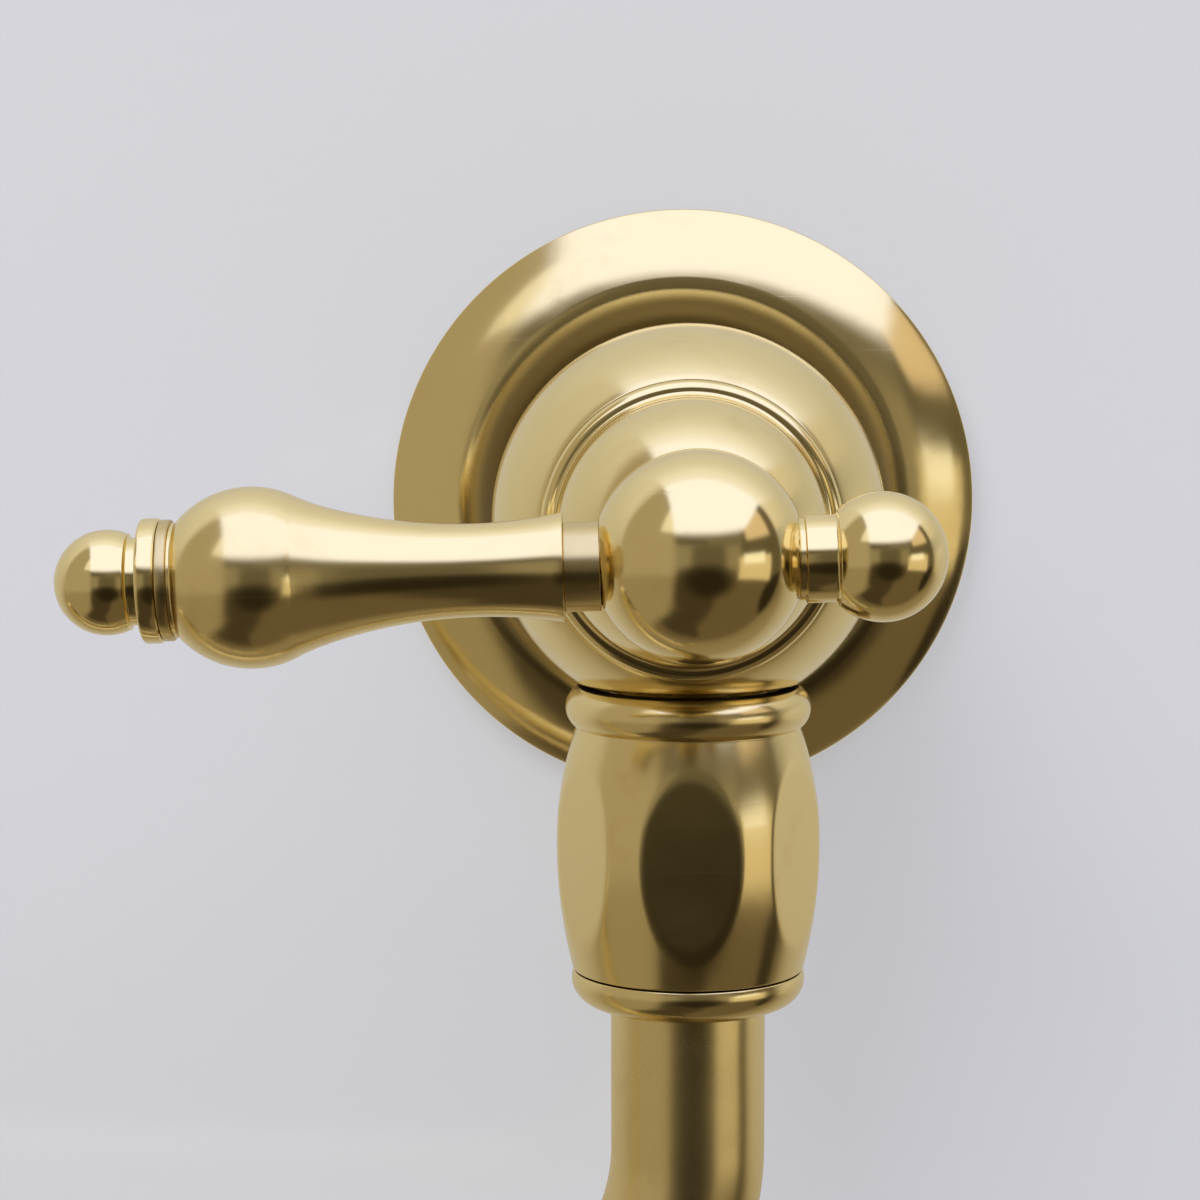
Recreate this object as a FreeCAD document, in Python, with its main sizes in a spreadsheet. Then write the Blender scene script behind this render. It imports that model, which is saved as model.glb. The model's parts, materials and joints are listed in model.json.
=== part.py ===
import FreeCAD, Part
import collections
import math
import os
import Sketcher
from FreeCAD import Placement, Rotation, Vector

# Driving dimensions in millimetres and degrees. Lengths along the valve are measured out from the wall,
# lengths along a swivel joint down from the middle of the ball above it, and lengths along the lever
# out from the middle of its hub.
dimensions = {
    "flange_radius": 32.5,
    "flange_crest": 6.6,
    "flange_crest_radius": 24.0,
    "flange_inner_round": 4.7,
    "flange_outer_round": 17.0,
    "flange_turn": 13.5,
    "flange_plate": 2.4,
    "flange_wall": 1.7,
    "flange_collar_radius": 13.6,
    "flange_collar_height": 6.0,
    "flange_ring_height": 4.1,
    "nipple_radius": 10.48,
    "nipple_length": 20.0,
    "nipple_spigot_radius": 8.95,
    "nipple_spigot_length": 8.0,
    "stem_radius": 11.0,
    "stem_bore": 7.0,
    "stem_spigot_radius": 9.45,
    "stem_spigot_length": 5.0,
    "body_radius": 20.15,
    "body_reach": 32.0,
    "chamber_radius": 11.5,
    "chamber_back": 27.0,
    "bonnet_seat": 45.6,
    "bonnet_thread_radius": 12.95,
    "bonnet_thread_length": 2.0,
    "bonnet_root_radius": 13.95,
    "bonnet_bead_radius": 14.75,
    "bonnet_bead_start": 46.2,
    "bonnet_bead_width": 1.8,
    "bonnet_foot_radius": 13.3,
    "bonnet_dome_round": 14.9,
    "bonnet_neck_radius": 6.2,
    "bonnet_neck_end": 64.0,
    "barrel_outer_radius": 10.0,
    "barrel_inner_radius": 8.7,
    "barrel_head_radius": 11.4,
    "barrel_head_length": 2.8,
    "barrel_start": 30.0,
    "barrel_shoulder": 40.0,
    "window_radius": 1.0,
    "window_middle": 38.4,
    "disc_radius": 8.6,
    "disc_thickness": 3.0,
    "disc_port_radius": 2.4,
    "disc_port_offset": 4.4,
    "spindle_radius": 5.0,
    "spindle_driver_radius": 8.4,
    "spindle_driver_length": 1.3,
    "spindle_step_radius": 6.5,
    "spindle_step_end": 39.4,
    "spindle_ring_middle": 50.0,
    "spindle_ring_radius": 0.6,
    "spindle_end_radius": 4.0,
    "spindle_end_start": 64.5,
    "spindle_end": 79.0,
    "hub_radius": 9.55,
    "hub_reach": 75.9,
    "hub_neck_radius": 5.8,
    "hub_neck_start": 64.6,
    "lever_tilt": 1.86,
    "lever_drop": 0.5,
    "lever_stud_radius": 2.5,
    "lever_seat": 8.7,
    "collar_radius": 3.95,
    "stud_tip": 4.7,
    "counter_tip": 4.1,
    "grip_start": 11.9,
    "grip_start_radius": 4.85,
    "grip_waist": 20.3,
    "grip_waist_radius": 4.12,
    "grip_flare": 33.6,
    "grip_flare_radius": 6.3,
    "grip_swell": 35.2,
    "grip_swell_radius": 6.95,
    "grip_crown": 39.3,
    "grip_crown_radius": 8.02,
    "grip_end": 45.9,
    "grip_end_radius": 5.07,
    "grip_lip": 0.4,
    "washer_thickness": 0.95,
    "washer_radius": 5.36,
    "ring_thickness": 1.75,
    "ring_radius": 5.52,
    "ring_round": 0.35,
    "finial_neck_radius": 3.87,
    "finial_neck_length": 1.0,
    "finial_radius": 4.66,
    "finial_middle": 52.13,
    "finial_cove": 0.35,
    "counter_step_radius": 3.6,
    "counter_step_end": 9.3,
    "counter_neck_radius": 3.87,
    "counter_radius": 5.77,
    "counter_middle": 16.1,
    "counter_cove": 0.4,
    "outlet_bore": 6.0,
    "outlet_thread_radius": 8.2,
    "outlet_thread_length": 4.4,
    "outlet_flat": 16.5,
    "nut_gap": 0.5,
    "nut_thread_radius": 9.9,
    "nut_thread_end": 31.0,
    "nut_mouth_radius": 11.4,
    "nut_bead_radius": 12.65,
    "nut_bead_width": 4.2,
    "nut_neck_radius": 11.6,
    "nut_shoulder_radius": 13.42,
    "nut_shoulder_middle": 25.8,
    "nut_shoulder_end": 29.6,
    "nut_barrel_radius": 13.58,
    "nut_barrel_middle": 33.6,
    "nut_foot_radius": 11.93,
    "nut_foot": 46.4,
    "nut_bore": 9.6,
    "flat_distance": 12.7,
    "flat_start": 22.4,
    "seam_gap": 0.16,
    "end_ring_radius": 12.05,
    "end_ring_height": 3.6,
    "spigot_radius": 7.0,
    "spigot_bore": 4.8,
    "spigot_seat": 20.0,
    "spigot_ring_radius": 0.65,
    "spigot_ring_pitch": 4.4,
    "spigot_ring_start": 23.0,
    "spigot_collar_radius": 9.2,
    "spigot_collar_start": 32.6,
    "spigot_collar_end": 36.0,
    "spigot_tail": 8.0,
    "tube_radius": 8.0,
    "tube_wall": 1.0,
    "tube_bend": 26.0,
    "bend_start": 65.5,
    "running_gap": 0.05,
    "arm_length": 200.0,
    "arm_heading": 186.0,
    "elbow_radius": 16.0,
    "elbow_flat": 11.3,
    "elbow_socket": 3.0,
    "elbow_bore": 5.5,
    "elbow_bore_end": 7.0,
    "spout_length": 180.0,
    "spout_heading": 366.0,
    "spout_drop": 18.0,
    "nozzle_grip": 8.0,
    "nozzle_length": 17.0,
    "nozzle_radius": 11.0,
    "nozzle_bead_radius": 11.6,
    "nozzle_thread_radius": 9.6,
    "aerator_rim": 3.0,
    "aerator_bore": 7.5,
    "aerator_hole_radius": 0.8,
    "aerator_hole_pitch": 2.6,
}

doc = FreeCAD.newDocument("pot_filler")
sheet = doc.addObject("Spreadsheet::Sheet", "sizes")
nodes = []


class Size:
    """A length or angle with its present value and the sheet expression that drives it."""

    def __init__(self, value, text):
        self.value = value
        self.text = text

    def joined(self, other, sign, value):
        return Size(value, "(%s %s %s)" % (self.text, sign, as_size(other).text))

    def __add__(self, other):
        return self.joined(other, "+", self.value + as_size(other).value)

    def __sub__(self, other):
        return self.joined(other, "-", self.value - as_size(other).value)

    def __mul__(self, other):
        return self.joined(other, "*", self.value * as_size(other).value)

    def __truediv__(self, other):
        return self.joined(other, "/", self.value / as_size(other).value)

    def __neg__(self):
        return Size(-self.value, "(-1 * %s)" % self.text)


class Sizes:
    """The sheet's dimensions as attributes."""


def as_size(number):
    return number if isinstance(number, Size) else Size(number, repr(number))


def chord(radius, offset):
    """Radius of the circle that a plane cuts from a ball, at an offset from the ball's middle."""
    value = math.sqrt(radius.value ** 2 - offset.value ** 2)
    return Size(value, "sqrt(%s ^ 2 - %s ^ 2)" % (radius.text, offset.text))


def cosine(angle):
    return Size(math.cos(math.radians(angle.value)), "cos(%s)" % angle.text)


def sine(angle):
    return Size(math.sin(math.radians(angle.value)), "sin(%s)" % angle.text)


def fill_sheet():
    for row, (name, value) in enumerate(dimensions.items(), start=1):
        sheet.set("A%d" % row, name)
        sheet.set("B%d" % row, str(value))
        sheet.setAlias("B%d" % row, name)
        setattr(Sizes, name, Size(value, "sizes.%s" % name))
    doc.recompute()


fill_sheet()
d = Sizes
zero = as_size(0)

# A point on the way of an arc between its two neighbours in an outline
Via = collections.namedtuple("Via", "across along")


def round_via(across, along, radius, degrees):
    """The point of a round at an angle, counted from the across direction towards the along direction."""
    angle = math.radians(degrees)
    return Via(across + radius * round(math.cos(angle), 6), along + radius * round(math.sin(angle), 6))


def bind(owner, path, size):
    owner.setExpression(path, size.text)


def spot(point):
    return Vector(as_size(point[0]).value, as_size(point[1]).value, 0)


def tie(sketch, edge, end, point):
    """Holds one point of a sketch at its two distances from the sketch's origin."""
    vertical_axis = -2
    level_axis = -1
    for kind, axis, length in (("DistanceX", vertical_axis, point[0]), ("DistanceY", level_axis, point[1])):
        size = as_size(length)
        if size.value == 0:
            sketch.addConstraint(Sketcher.Constraint("PointOnObject", edge, end, axis))
        else:
            held = sketch.addConstraint(Sketcher.Constraint(kind, -1, 1, edge, end, size.value))
            bind(sketch, "Constraints[%d]" % held, size)


def stretches(outline, closed):
    points = outline + outline[:1] if closed else outline
    start = points[0]
    middle = None
    for point in points[1:]:
        if isinstance(point, Via):
            middle = point
        else:
            yield start, middle, point
            start = point
            middle = None


def draw(sketch, outline, closed=True):
    """Draws an outline of lines and arcs whose every point is driven by the sheet."""
    drawn = []
    for start, middle, end in stretches(outline, closed):
        first = 1
        if middle is None:
            edge = sketch.addGeometry(Part.LineSegment(spot(start), spot(end)), False)
        else:
            edge = sketch.addGeometry(Part.Arc(spot(start), spot(middle), spot(end)), False)
            if not sketch.getPoint(edge, 1).isEqual(spot(start), 1e-6):
                first = 2
            mark = sketch.addGeometry(Part.Point(spot(middle)), True)
            tie(sketch, mark, 1, middle)
            sketch.addConstraint(Sketcher.Constraint("PointOnObject", mark, 1, edge))
        tie(sketch, edge, first, start)
        if drawn:
            before, far = drawn[-1]
            sketch.addConstraint(Sketcher.Constraint("Coincident", before, far, edge, first))
        drawn.append((edge, 3 - first))
    last, far = drawn[-1]
    if closed:
        near = 3 - drawn[0][1]
        sketch.addConstraint(Sketcher.Constraint("Coincident", last, far, drawn[0][0], near))
    else:
        tie(sketch, last, far, outline[-1])


def ring(sketch, across, along, radius):
    """Draws a full circle about a point."""
    edge = sketch.addGeometry(Part.Circle(spot((across, along)), Vector(0, 0, 1), radius.value), False)
    held = sketch.addConstraint(Sketcher.Constraint("Radius", edge, radius.value))
    bind(sketch, "Constraints[%d]" % held, radius)
    tie(sketch, edge, 3, (across, along))


def new_sketch(body, name, plane, shift=(0, 0, 0), turn=zero):
    """A sketch on one of its own body's origin planes, moved and turned in that plane."""
    sketch = body.newObject("Sketcher::SketchObject", "%s_%s" % (body.Name, name))
    support = [part for part in body.Origin.OriginFeatures if part.Role == plane][0]
    sketch.AttachmentSupport = (support, [""])
    sketch.MapMode = "FlatFace"
    moves = [as_size(move) for move in shift]
    place = Vector(*[move.value for move in moves])
    sketch.AttachmentOffset = Placement(place, Rotation(Vector(0, 0, 1), turn.value))
    for axis, move in zip("xyz", moves):
        if move.value != 0:
            bind(sketch, "AttachmentOffset.Base.%s" % axis, move)
    if turn.value != 0:
        bind(sketch, "AttachmentOffset.Rotation.Angle", turn)
    return sketch


Seat = collections.namedtuple("Seat", "base rotation")


def settle(piece, seat):
    """Puts a piece in its place, with the place driven by the sheet."""
    base = [as_size(length) for length in seat.base]
    piece.Placement = Placement(Vector(*[length.value for length in base]), seat.rotation)
    for axis, length in zip("xyz", base):
        if length.value != 0:
            bind(piece, "Placement.Base.%s" % axis, length)


def keep(piece, name):
    piece.Label = name
    nodes.append(piece)
    return piece


def turned(name, outline, seat):
    """A piece turned about its own axis from one outline of radius and length."""
    body = doc.addObject("PartDesign::Body", name)
    sketch = new_sketch(body, "outline", "XZ_Plane")
    draw(sketch, outline)
    turning = body.newObject("PartDesign::Revolution", name + "_turning")
    turning.Profile = sketch
    turning.ReferenceAxis = (sketch, ["V_Axis"])
    turning.Angle = 360
    settle(body, seat)
    return keep(body, name)


def cross_bored(body, name, plane, shift, turn, outlines):
    """Cuts turned hollows about an axis that lies across the piece."""
    sketch = new_sketch(body, name, plane, shift, turn)
    for outline in outlines:
        draw(sketch, outline)
    cut = body.newObject("PartDesign::Groove", "%s_%s_cut" % (body.Name, name))
    cut.Profile = sketch
    cut.ReferenceAxis = (sketch, ["H_Axis"])
    cut.Angle = 360


def drilled(body, name, start, length, circles):
    """Cuts round holes along the piece's own axis, from start onwards."""
    sketch = new_sketch(body, name, "XY_Plane", (0, 0, start))
    for across, along, radius in circles:
        ring(sketch, across, along, radius)
    cut = body.newObject("PartDesign::Pocket", "%s_%s_cut" % (body.Name, name))
    cut.Profile = sketch
    cut.Reversed = True
    bind(cut, "Length", length)
    return cut


def repeated(body, cut, count):
    """Repeats a cut round the piece's own axis."""
    pattern = body.newObject("PartDesign::PolarPattern", cut.Name + "_ring")
    pattern.Originals = [cut]
    pattern.Axis = (cut.Profile[0], ["N_Axis"])
    pattern.Angle = 360
    pattern.Occurrences = count
    body.Tip = pattern


def rubber_ring(name, middle_radius, section_radius, seat, heights):
    """One or more round-section rings on an axis, kept as one group."""
    rings = []
    for height in heights:
        torus = doc.addObject("Part::Torus", name + "_ring")
        bind(torus, "Radius1", middle_radius)
        bind(torus, "Radius2", section_radius)
        bind(torus, "Placement.Base.z", height)
        rings.append(torus)
    group = doc.addObject("Part::Compound", name)
    group.Links = rings
    settle(group, seat)
    return keep(group, name)


def flat_rings(name, seat, rings):
    """Flat washers on an axis, kept as one group: inner radius, outer radius, start and end of each."""
    solids = []
    for inner, outer, start, end in rings:
        blank = doc.addObject("Part::Cylinder", name + "_blank")
        hole = doc.addObject("Part::Cylinder", name + "_hole")
        for cylinder, radius in ((blank, outer), (hole, inner)):
            bind(cylinder, "Radius", radius)
            bind(cylinder, "Height", end - start)
            bind(cylinder, "Placement.Base.z", start)
        washer = doc.addObject("Part::Cut", name + "_washer")
        washer.Base = blank
        washer.Tool = hole
        solids.append(washer)
    group = doc.addObject("Part::Compound", name)
    group.Links = solids
    settle(group, seat)
    return keep(group, name)


# Directions: out from the wall, along the lever, along its counterweight side, and down a swivel joint
out_of_wall = Seat((0, 0, 0), Rotation(Vector(1, 0, 0), 90))
lever_base = (0, -d.hub_reach, -d.lever_drop)
along_lever = Seat(lever_base, Rotation(Vector(0, 1, 0), -90 - d.lever_tilt.value))
along_counter = Seat(lever_base, Rotation(Vector(0, 1, 0), 90 - d.lever_tilt.value))
downwards = Rotation(Vector(1, 0, 0), 180)


def moulding(inner, outer, foot, rim):
    """The rose's outline from its foot over the crest to its rim: a tight round that runs into a wide one."""
    middle = d.flange_crest - d.flange_inner_round
    spread = d.flange_inner_round - d.flange_outer_round
    outer_across = d.flange_crest_radius + spread * sine(d.flange_turn)
    outer_along = middle + spread * cosine(d.flange_turn)
    meet_across = d.flange_crest_radius + inner * sine(d.flange_turn)
    meet_along = middle + inner * cosine(d.flange_turn)
    return [
        (d.flange_crest_radius - chord(inner, foot - middle), foot),
        round_via(d.flange_crest_radius, middle, inner, 120),
        (meet_across, meet_along),
        round_via(outer_across, outer_along, outer, 63),
        (rim, outer_along + chord(outer, rim - outer_across)),
    ]


def wall_side():
    """The threaded tail, the stem, and the moulded rose that hides the hole in the wall."""
    turned("inlet_nipple", [
        (d.stem_bore, -d.nipple_length),
        (d.nipple_radius, -d.nipple_length),
        (d.nipple_radius, 0),
        (d.nipple_spigot_radius, 0),
        (d.nipple_spigot_radius, d.nipple_spigot_length),
        (d.stem_bore, d.nipple_spigot_length),
    ], out_of_wall)
    stem_length = d.body_reach - chord(d.body_radius, d.stem_radius)
    socket = d.nipple_spigot_radius + d.running_gap
    turned("body_stem", [
        (socket, 0),
        (d.stem_radius, 0),
        (d.stem_radius, stem_length),
        (d.stem_spigot_radius, stem_length),
        (d.stem_spigot_radius, stem_length + d.stem_spigot_length),
        (d.stem_bore, stem_length + d.stem_spigot_length),
        (d.stem_bore, d.nipple_spigot_length),
        (socket, d.nipple_spigot_length),
    ], out_of_wall)
    bore = d.stem_radius + d.running_gap
    rim = d.flange_radius - d.flange_wall
    hollow = moulding(d.flange_inner_round - d.flange_wall, d.flange_outer_round - d.flange_wall,
                      d.flange_crest - d.flange_inner_round, rim)
    front = moulding(d.flange_inner_round, d.flange_outer_round, d.flange_plate, d.flange_radius)
    groove_half = d.spigot_ring_radius + d.running_gap
    groove_depth = groove_half * 2
    turned("wall_flange", [
        (bore, 0),
        (hollow[0][0], 0),
        *hollow,
        (rim, 0),
        (d.flange_radius, 0),
        *reversed(front),
        (d.flange_collar_radius, d.flange_plate),
        (d.flange_collar_radius, d.flange_collar_height),
        (bore, d.flange_collar_height),
        (bore, d.flange_ring_height + groove_half),
        (bore + groove_depth, d.flange_ring_height + groove_half),
        (bore + groove_depth, d.flange_ring_height - groove_half),
        (bore, d.flange_ring_height - groove_half),
    ], out_of_wall)
    rubber_ring("flange_o_ring", bore + d.spigot_ring_radius, d.spigot_ring_radius, out_of_wall,
                [d.flange_ring_height])
    return stem_length


def ball_body(stem_length):
    """The ball: stem socket behind, cartridge chamber in front, outlet socket below."""
    socket = d.stem_spigot_radius + d.running_gap
    thread = d.bonnet_thread_radius + d.running_gap
    thread_end = d.bonnet_seat - d.bonnet_thread_length
    socket_end = stem_length + d.stem_spigot_length
    body = turned("valve_body", [
        (socket, stem_length),
        (d.stem_radius, stem_length),
        Via(d.body_radius, d.body_reach),
        (chord(d.body_radius, d.bonnet_seat - d.body_reach), d.bonnet_seat),
        (thread, d.bonnet_seat),
        (thread, thread_end),
        (d.chamber_radius, thread_end),
        (d.chamber_radius, d.chamber_back),
        (d.stem_bore, d.chamber_back),
        (d.stem_bore, socket_end),
        (socket, socket_end),
    ], out_of_wall)
    outlet(body, "YZ_Plane", (0, d.body_reach, 0), Size(180, "180"), d.outlet_flat, d.body_radius,
           d.outlet_flat / 2)


def outlet(body, plane, shift, turn, flat, radius, bore_start):
    """The flat under a ball, with the threaded socket of the nipple and the water way above it."""
    thread_start = flat - d.outlet_thread_length
    cross_bored(body, "outlet", plane, shift, turn, [[
        (bore_start, 0),
        (bore_start, d.outlet_bore),
        (thread_start, d.outlet_bore),
        (thread_start, d.outlet_thread_radius),
        (flat, d.outlet_thread_radius),
        (flat, radius),
        (radius + d.outlet_thread_length, radius),
        (radius + d.outlet_thread_length, 0),
    ]])


def bonnet():
    """The front dome with its bead, which holds the cartridge in the ball."""
    bore = d.spindle_radius + d.running_gap
    bead_end = d.bonnet_bead_start + d.bonnet_bead_width
    bead_middle = d.bonnet_bead_start + d.bonnet_bead_width / 2
    dome_across = d.bonnet_foot_radius - d.bonnet_dome_round
    neck_start = bead_end + chord(d.bonnet_dome_round, d.bonnet_neck_radius - dome_across)
    turned("bonnet", [
        (bore, d.bonnet_seat - d.bonnet_thread_length),
        (d.bonnet_thread_radius, d.bonnet_seat - d.bonnet_thread_length),
        (d.bonnet_thread_radius, d.bonnet_seat),
        (d.bonnet_root_radius, d.bonnet_seat),
        (d.bonnet_root_radius, d.bonnet_bead_start),
        Via(d.bonnet_bead_radius, bead_middle),
        (d.bonnet_root_radius, bead_end),
        (d.bonnet_foot_radius, bead_end),
        round_via(dome_across, bead_end, d.bonnet_dome_round, 30),
        (d.bonnet_neck_radius, neck_start),
        (d.bonnet_neck_radius, d.bonnet_neck_end),
        (bore, d.bonnet_neck_end),
    ], out_of_wall)


def cartridge():
    """The quarter-turn ceramic cartridge: barrel, discs, seals and spindle."""
    head_start = d.bonnet_seat - d.bonnet_thread_length - d.barrel_head_length
    head_end = d.bonnet_seat - d.bonnet_thread_length
    groove_half = d.spigot_ring_radius + d.running_gap
    groove_middle = (head_start + head_end) / 2
    groove_radius = d.barrel_head_radius - groove_half * 2
    barrel = turned("cartridge_barrel", [
        (d.barrel_inner_radius, d.barrel_start),
        (d.barrel_outer_radius, d.barrel_start),
        (d.barrel_outer_radius, head_start),
        (d.barrel_head_radius, head_start),
        (d.barrel_head_radius, groove_middle - groove_half),
        (groove_radius, groove_middle - groove_half),
        (groove_radius, groove_middle + groove_half),
        (d.barrel_head_radius, groove_middle + groove_half),
        (d.barrel_head_radius, head_end),
        (d.spindle_radius + d.running_gap, head_end),
        (d.spindle_radius + d.running_gap, d.barrel_shoulder),
        (d.barrel_inner_radius, d.barrel_shoulder),
    ], out_of_wall)
    cross_bored(barrel, "windows", "YZ_Plane", (0, d.window_middle, 0), zero, [[
        (-d.chamber_radius, 0),
        (-d.chamber_radius, d.window_radius),
        (d.chamber_radius, d.window_radius),
        (d.chamber_radius, 0),
    ]])
    rubber_ring("cartridge_o_ring", groove_radius + d.spigot_ring_radius, d.spigot_ring_radius, out_of_wall,
                [groove_middle])
    flat_rings("seat_seal", out_of_wall, [
        (d.stem_bore, d.barrel_outer_radius, d.chamber_back, d.barrel_start),
    ])
    fixed_end = d.barrel_start + d.disc_thickness
    moving_start = fixed_end + d.running_gap
    moving_end = moving_start + d.disc_thickness
    for name, start, end, side in (("fixed_disc", d.barrel_start, fixed_end, 1),
                                   ("moving_disc", moving_start, moving_end, 0)):
        disc = turned(name, [(0, start), (d.disc_radius, start), (d.disc_radius, end), (0, end)], out_of_wall)
        across = d.disc_port_offset if side else zero
        along = zero if side else d.disc_port_offset
        cut = drilled(disc, "port", start, d.disc_thickness, [(across, along, d.disc_port_radius)])
        repeated(disc, cut, 2)
    ring_half = d.spindle_ring_radius + d.running_gap
    ring_floor = d.spindle_radius - ring_half * 2
    turned("spindle", [
        (0, moving_end),
        (d.spindle_driver_radius, moving_end),
        (d.spindle_driver_radius, moving_end + d.spindle_driver_length),
        (d.spindle_step_radius, moving_end + d.spindle_driver_length),
        (d.spindle_step_radius, d.spindle_step_end),
        (d.spindle_radius, d.spindle_step_end),
        (d.spindle_radius, d.spindle_ring_middle - ring_half),
        (ring_floor, d.spindle_ring_middle - ring_half),
        (ring_floor, d.spindle_ring_middle + ring_half),
        (d.spindle_radius, d.spindle_ring_middle + ring_half),
        (d.spindle_radius, d.spindle_end_start),
        (d.spindle_end_radius, d.spindle_end_start),
        (d.spindle_end_radius, d.spindle_end),
        (0, d.spindle_end),
    ], out_of_wall)
    rubber_ring("spindle_o_ring", ring_floor + d.spindle_ring_radius, d.spindle_ring_radius, out_of_wall,
                [d.spindle_ring_middle])
    flat_rings("spindle_washer", out_of_wall, [
        (d.spindle_radius, d.spindle_driver_radius, d.spindle_step_end, d.barrel_shoulder - d.running_gap),
    ])


def lever():
    """The ball hub on the spindle, the turned grip on its rod, and the ball screw that locks the hub."""
    bore = d.spindle_end_radius + d.running_gap
    bore_end = d.spindle_end + d.running_gap
    neck_end = d.hub_reach - chord(d.hub_radius, d.hub_neck_radius)
    hub = turned("hub_ball", [
        (bore, d.hub_neck_start),
        (d.hub_neck_radius, d.hub_neck_start),
        (d.hub_neck_radius, neck_end),
        Via(d.hub_radius, d.hub_reach),
        (0, d.hub_reach + d.hub_radius),
        (0, bore_end),
        (bore, bore_end),
    ], out_of_wall)
    beyond = d.hub_radius + d.lever_stud_radius
    tapped = d.lever_stud_radius + d.running_gap
    cross_bored(hub, "cross", "XY_Plane", (0, -d.lever_drop, d.hub_reach), d.lever_tilt, [
        [
            (-d.stud_tip, 0),
            (-d.stud_tip, tapped),
            (-d.lever_seat, tapped),
            (-d.lever_seat, beyond),
            (-beyond, beyond),
            (-beyond, 0),
        ],
        [
            (d.spindle_end_radius / 2, 0),
            (d.spindle_end_radius / 2, tapped),
            (d.lever_seat, tapped),
            (d.lever_seat, beyond),
            (beyond, beyond),
            (beyond, 0),
        ],
    ])
    washer_start = d.grip_end + d.grip_lip
    ring_start = washer_start + d.washer_thickness
    ring_end = ring_start + d.ring_thickness
    rod_end = ring_end + d.finial_neck_length
    turned("lever_rod", [
        (0, d.stud_tip),
        (d.lever_stud_radius, d.stud_tip),
        (d.lever_stud_radius, d.lever_seat),
        (d.collar_radius, d.lever_seat),
        (d.collar_radius, d.grip_start),
        (d.lever_stud_radius, d.grip_start),
        (d.lever_stud_radius, rod_end),
        (0, rod_end),
    ], along_lever)
    turned("lever_grip", [
        (tapped, d.grip_start),
        (d.grip_start_radius, d.grip_start),
        Via(d.grip_waist_radius, d.grip_waist),
        (d.grip_flare_radius, d.grip_flare),
        (d.grip_swell_radius, d.grip_swell),
        Via(d.grip_crown_radius, d.grip_crown),
        (d.grip_end_radius, d.grip_end),
        (d.grip_end_radius, washer_start),
        (tapped, washer_start),
    ], along_lever)
    flat_rings("grip_washer", along_lever, [(tapped, d.washer_radius, washer_start, ring_start)])
    turned("grip_ring", [
        (tapped, ring_start),
        (d.ring_radius - d.ring_round, ring_start),
        round_via(d.ring_radius - d.ring_round, ring_start + d.ring_round, d.ring_round, -45),
        (d.ring_radius, ring_start + d.ring_round),
        (d.ring_radius, ring_end - d.ring_round),
        round_via(d.ring_radius - d.ring_round, ring_end - d.ring_round, d.ring_round, 45),
        (d.ring_radius - d.ring_round, ring_end),
        (tapped, ring_end),
    ], along_lever)
    ball_end("end_finial", along_lever, [
        (tapped, rod_end),
        (tapped, ring_end),
        (d.finial_neck_radius, ring_end),
    ], d.finial_neck_radius, d.finial_cove, d.finial_radius, d.finial_middle, rod_end)
    ball_end("counter_screw", along_counter, [
        (d.lever_stud_radius, d.counter_tip),
        (d.lever_stud_radius, d.lever_seat),
        (d.counter_step_radius, d.lever_seat),
        (d.counter_step_radius, d.counter_step_end),
        (d.counter_neck_radius, d.counter_step_end),
    ], d.counter_neck_radius, d.counter_cove, d.counter_radius, d.counter_middle, d.counter_tip)


def ball_end(name, seat, foot, neck, cove, radius, middle, foot_start):
    """A ball on a neck, joined by a small cove."""
    cove_end = middle - chord(radius, neck + cove)
    turned(name, [(0, foot_start)] + foot + [
        (neck, cove_end - cove),
        round_via(neck + cove, cove_end - cove, cove, 135),
        (neck + cove, cove_end),
        Via(radius, middle),
        (0, middle + radius),
    ], seat)


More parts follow.
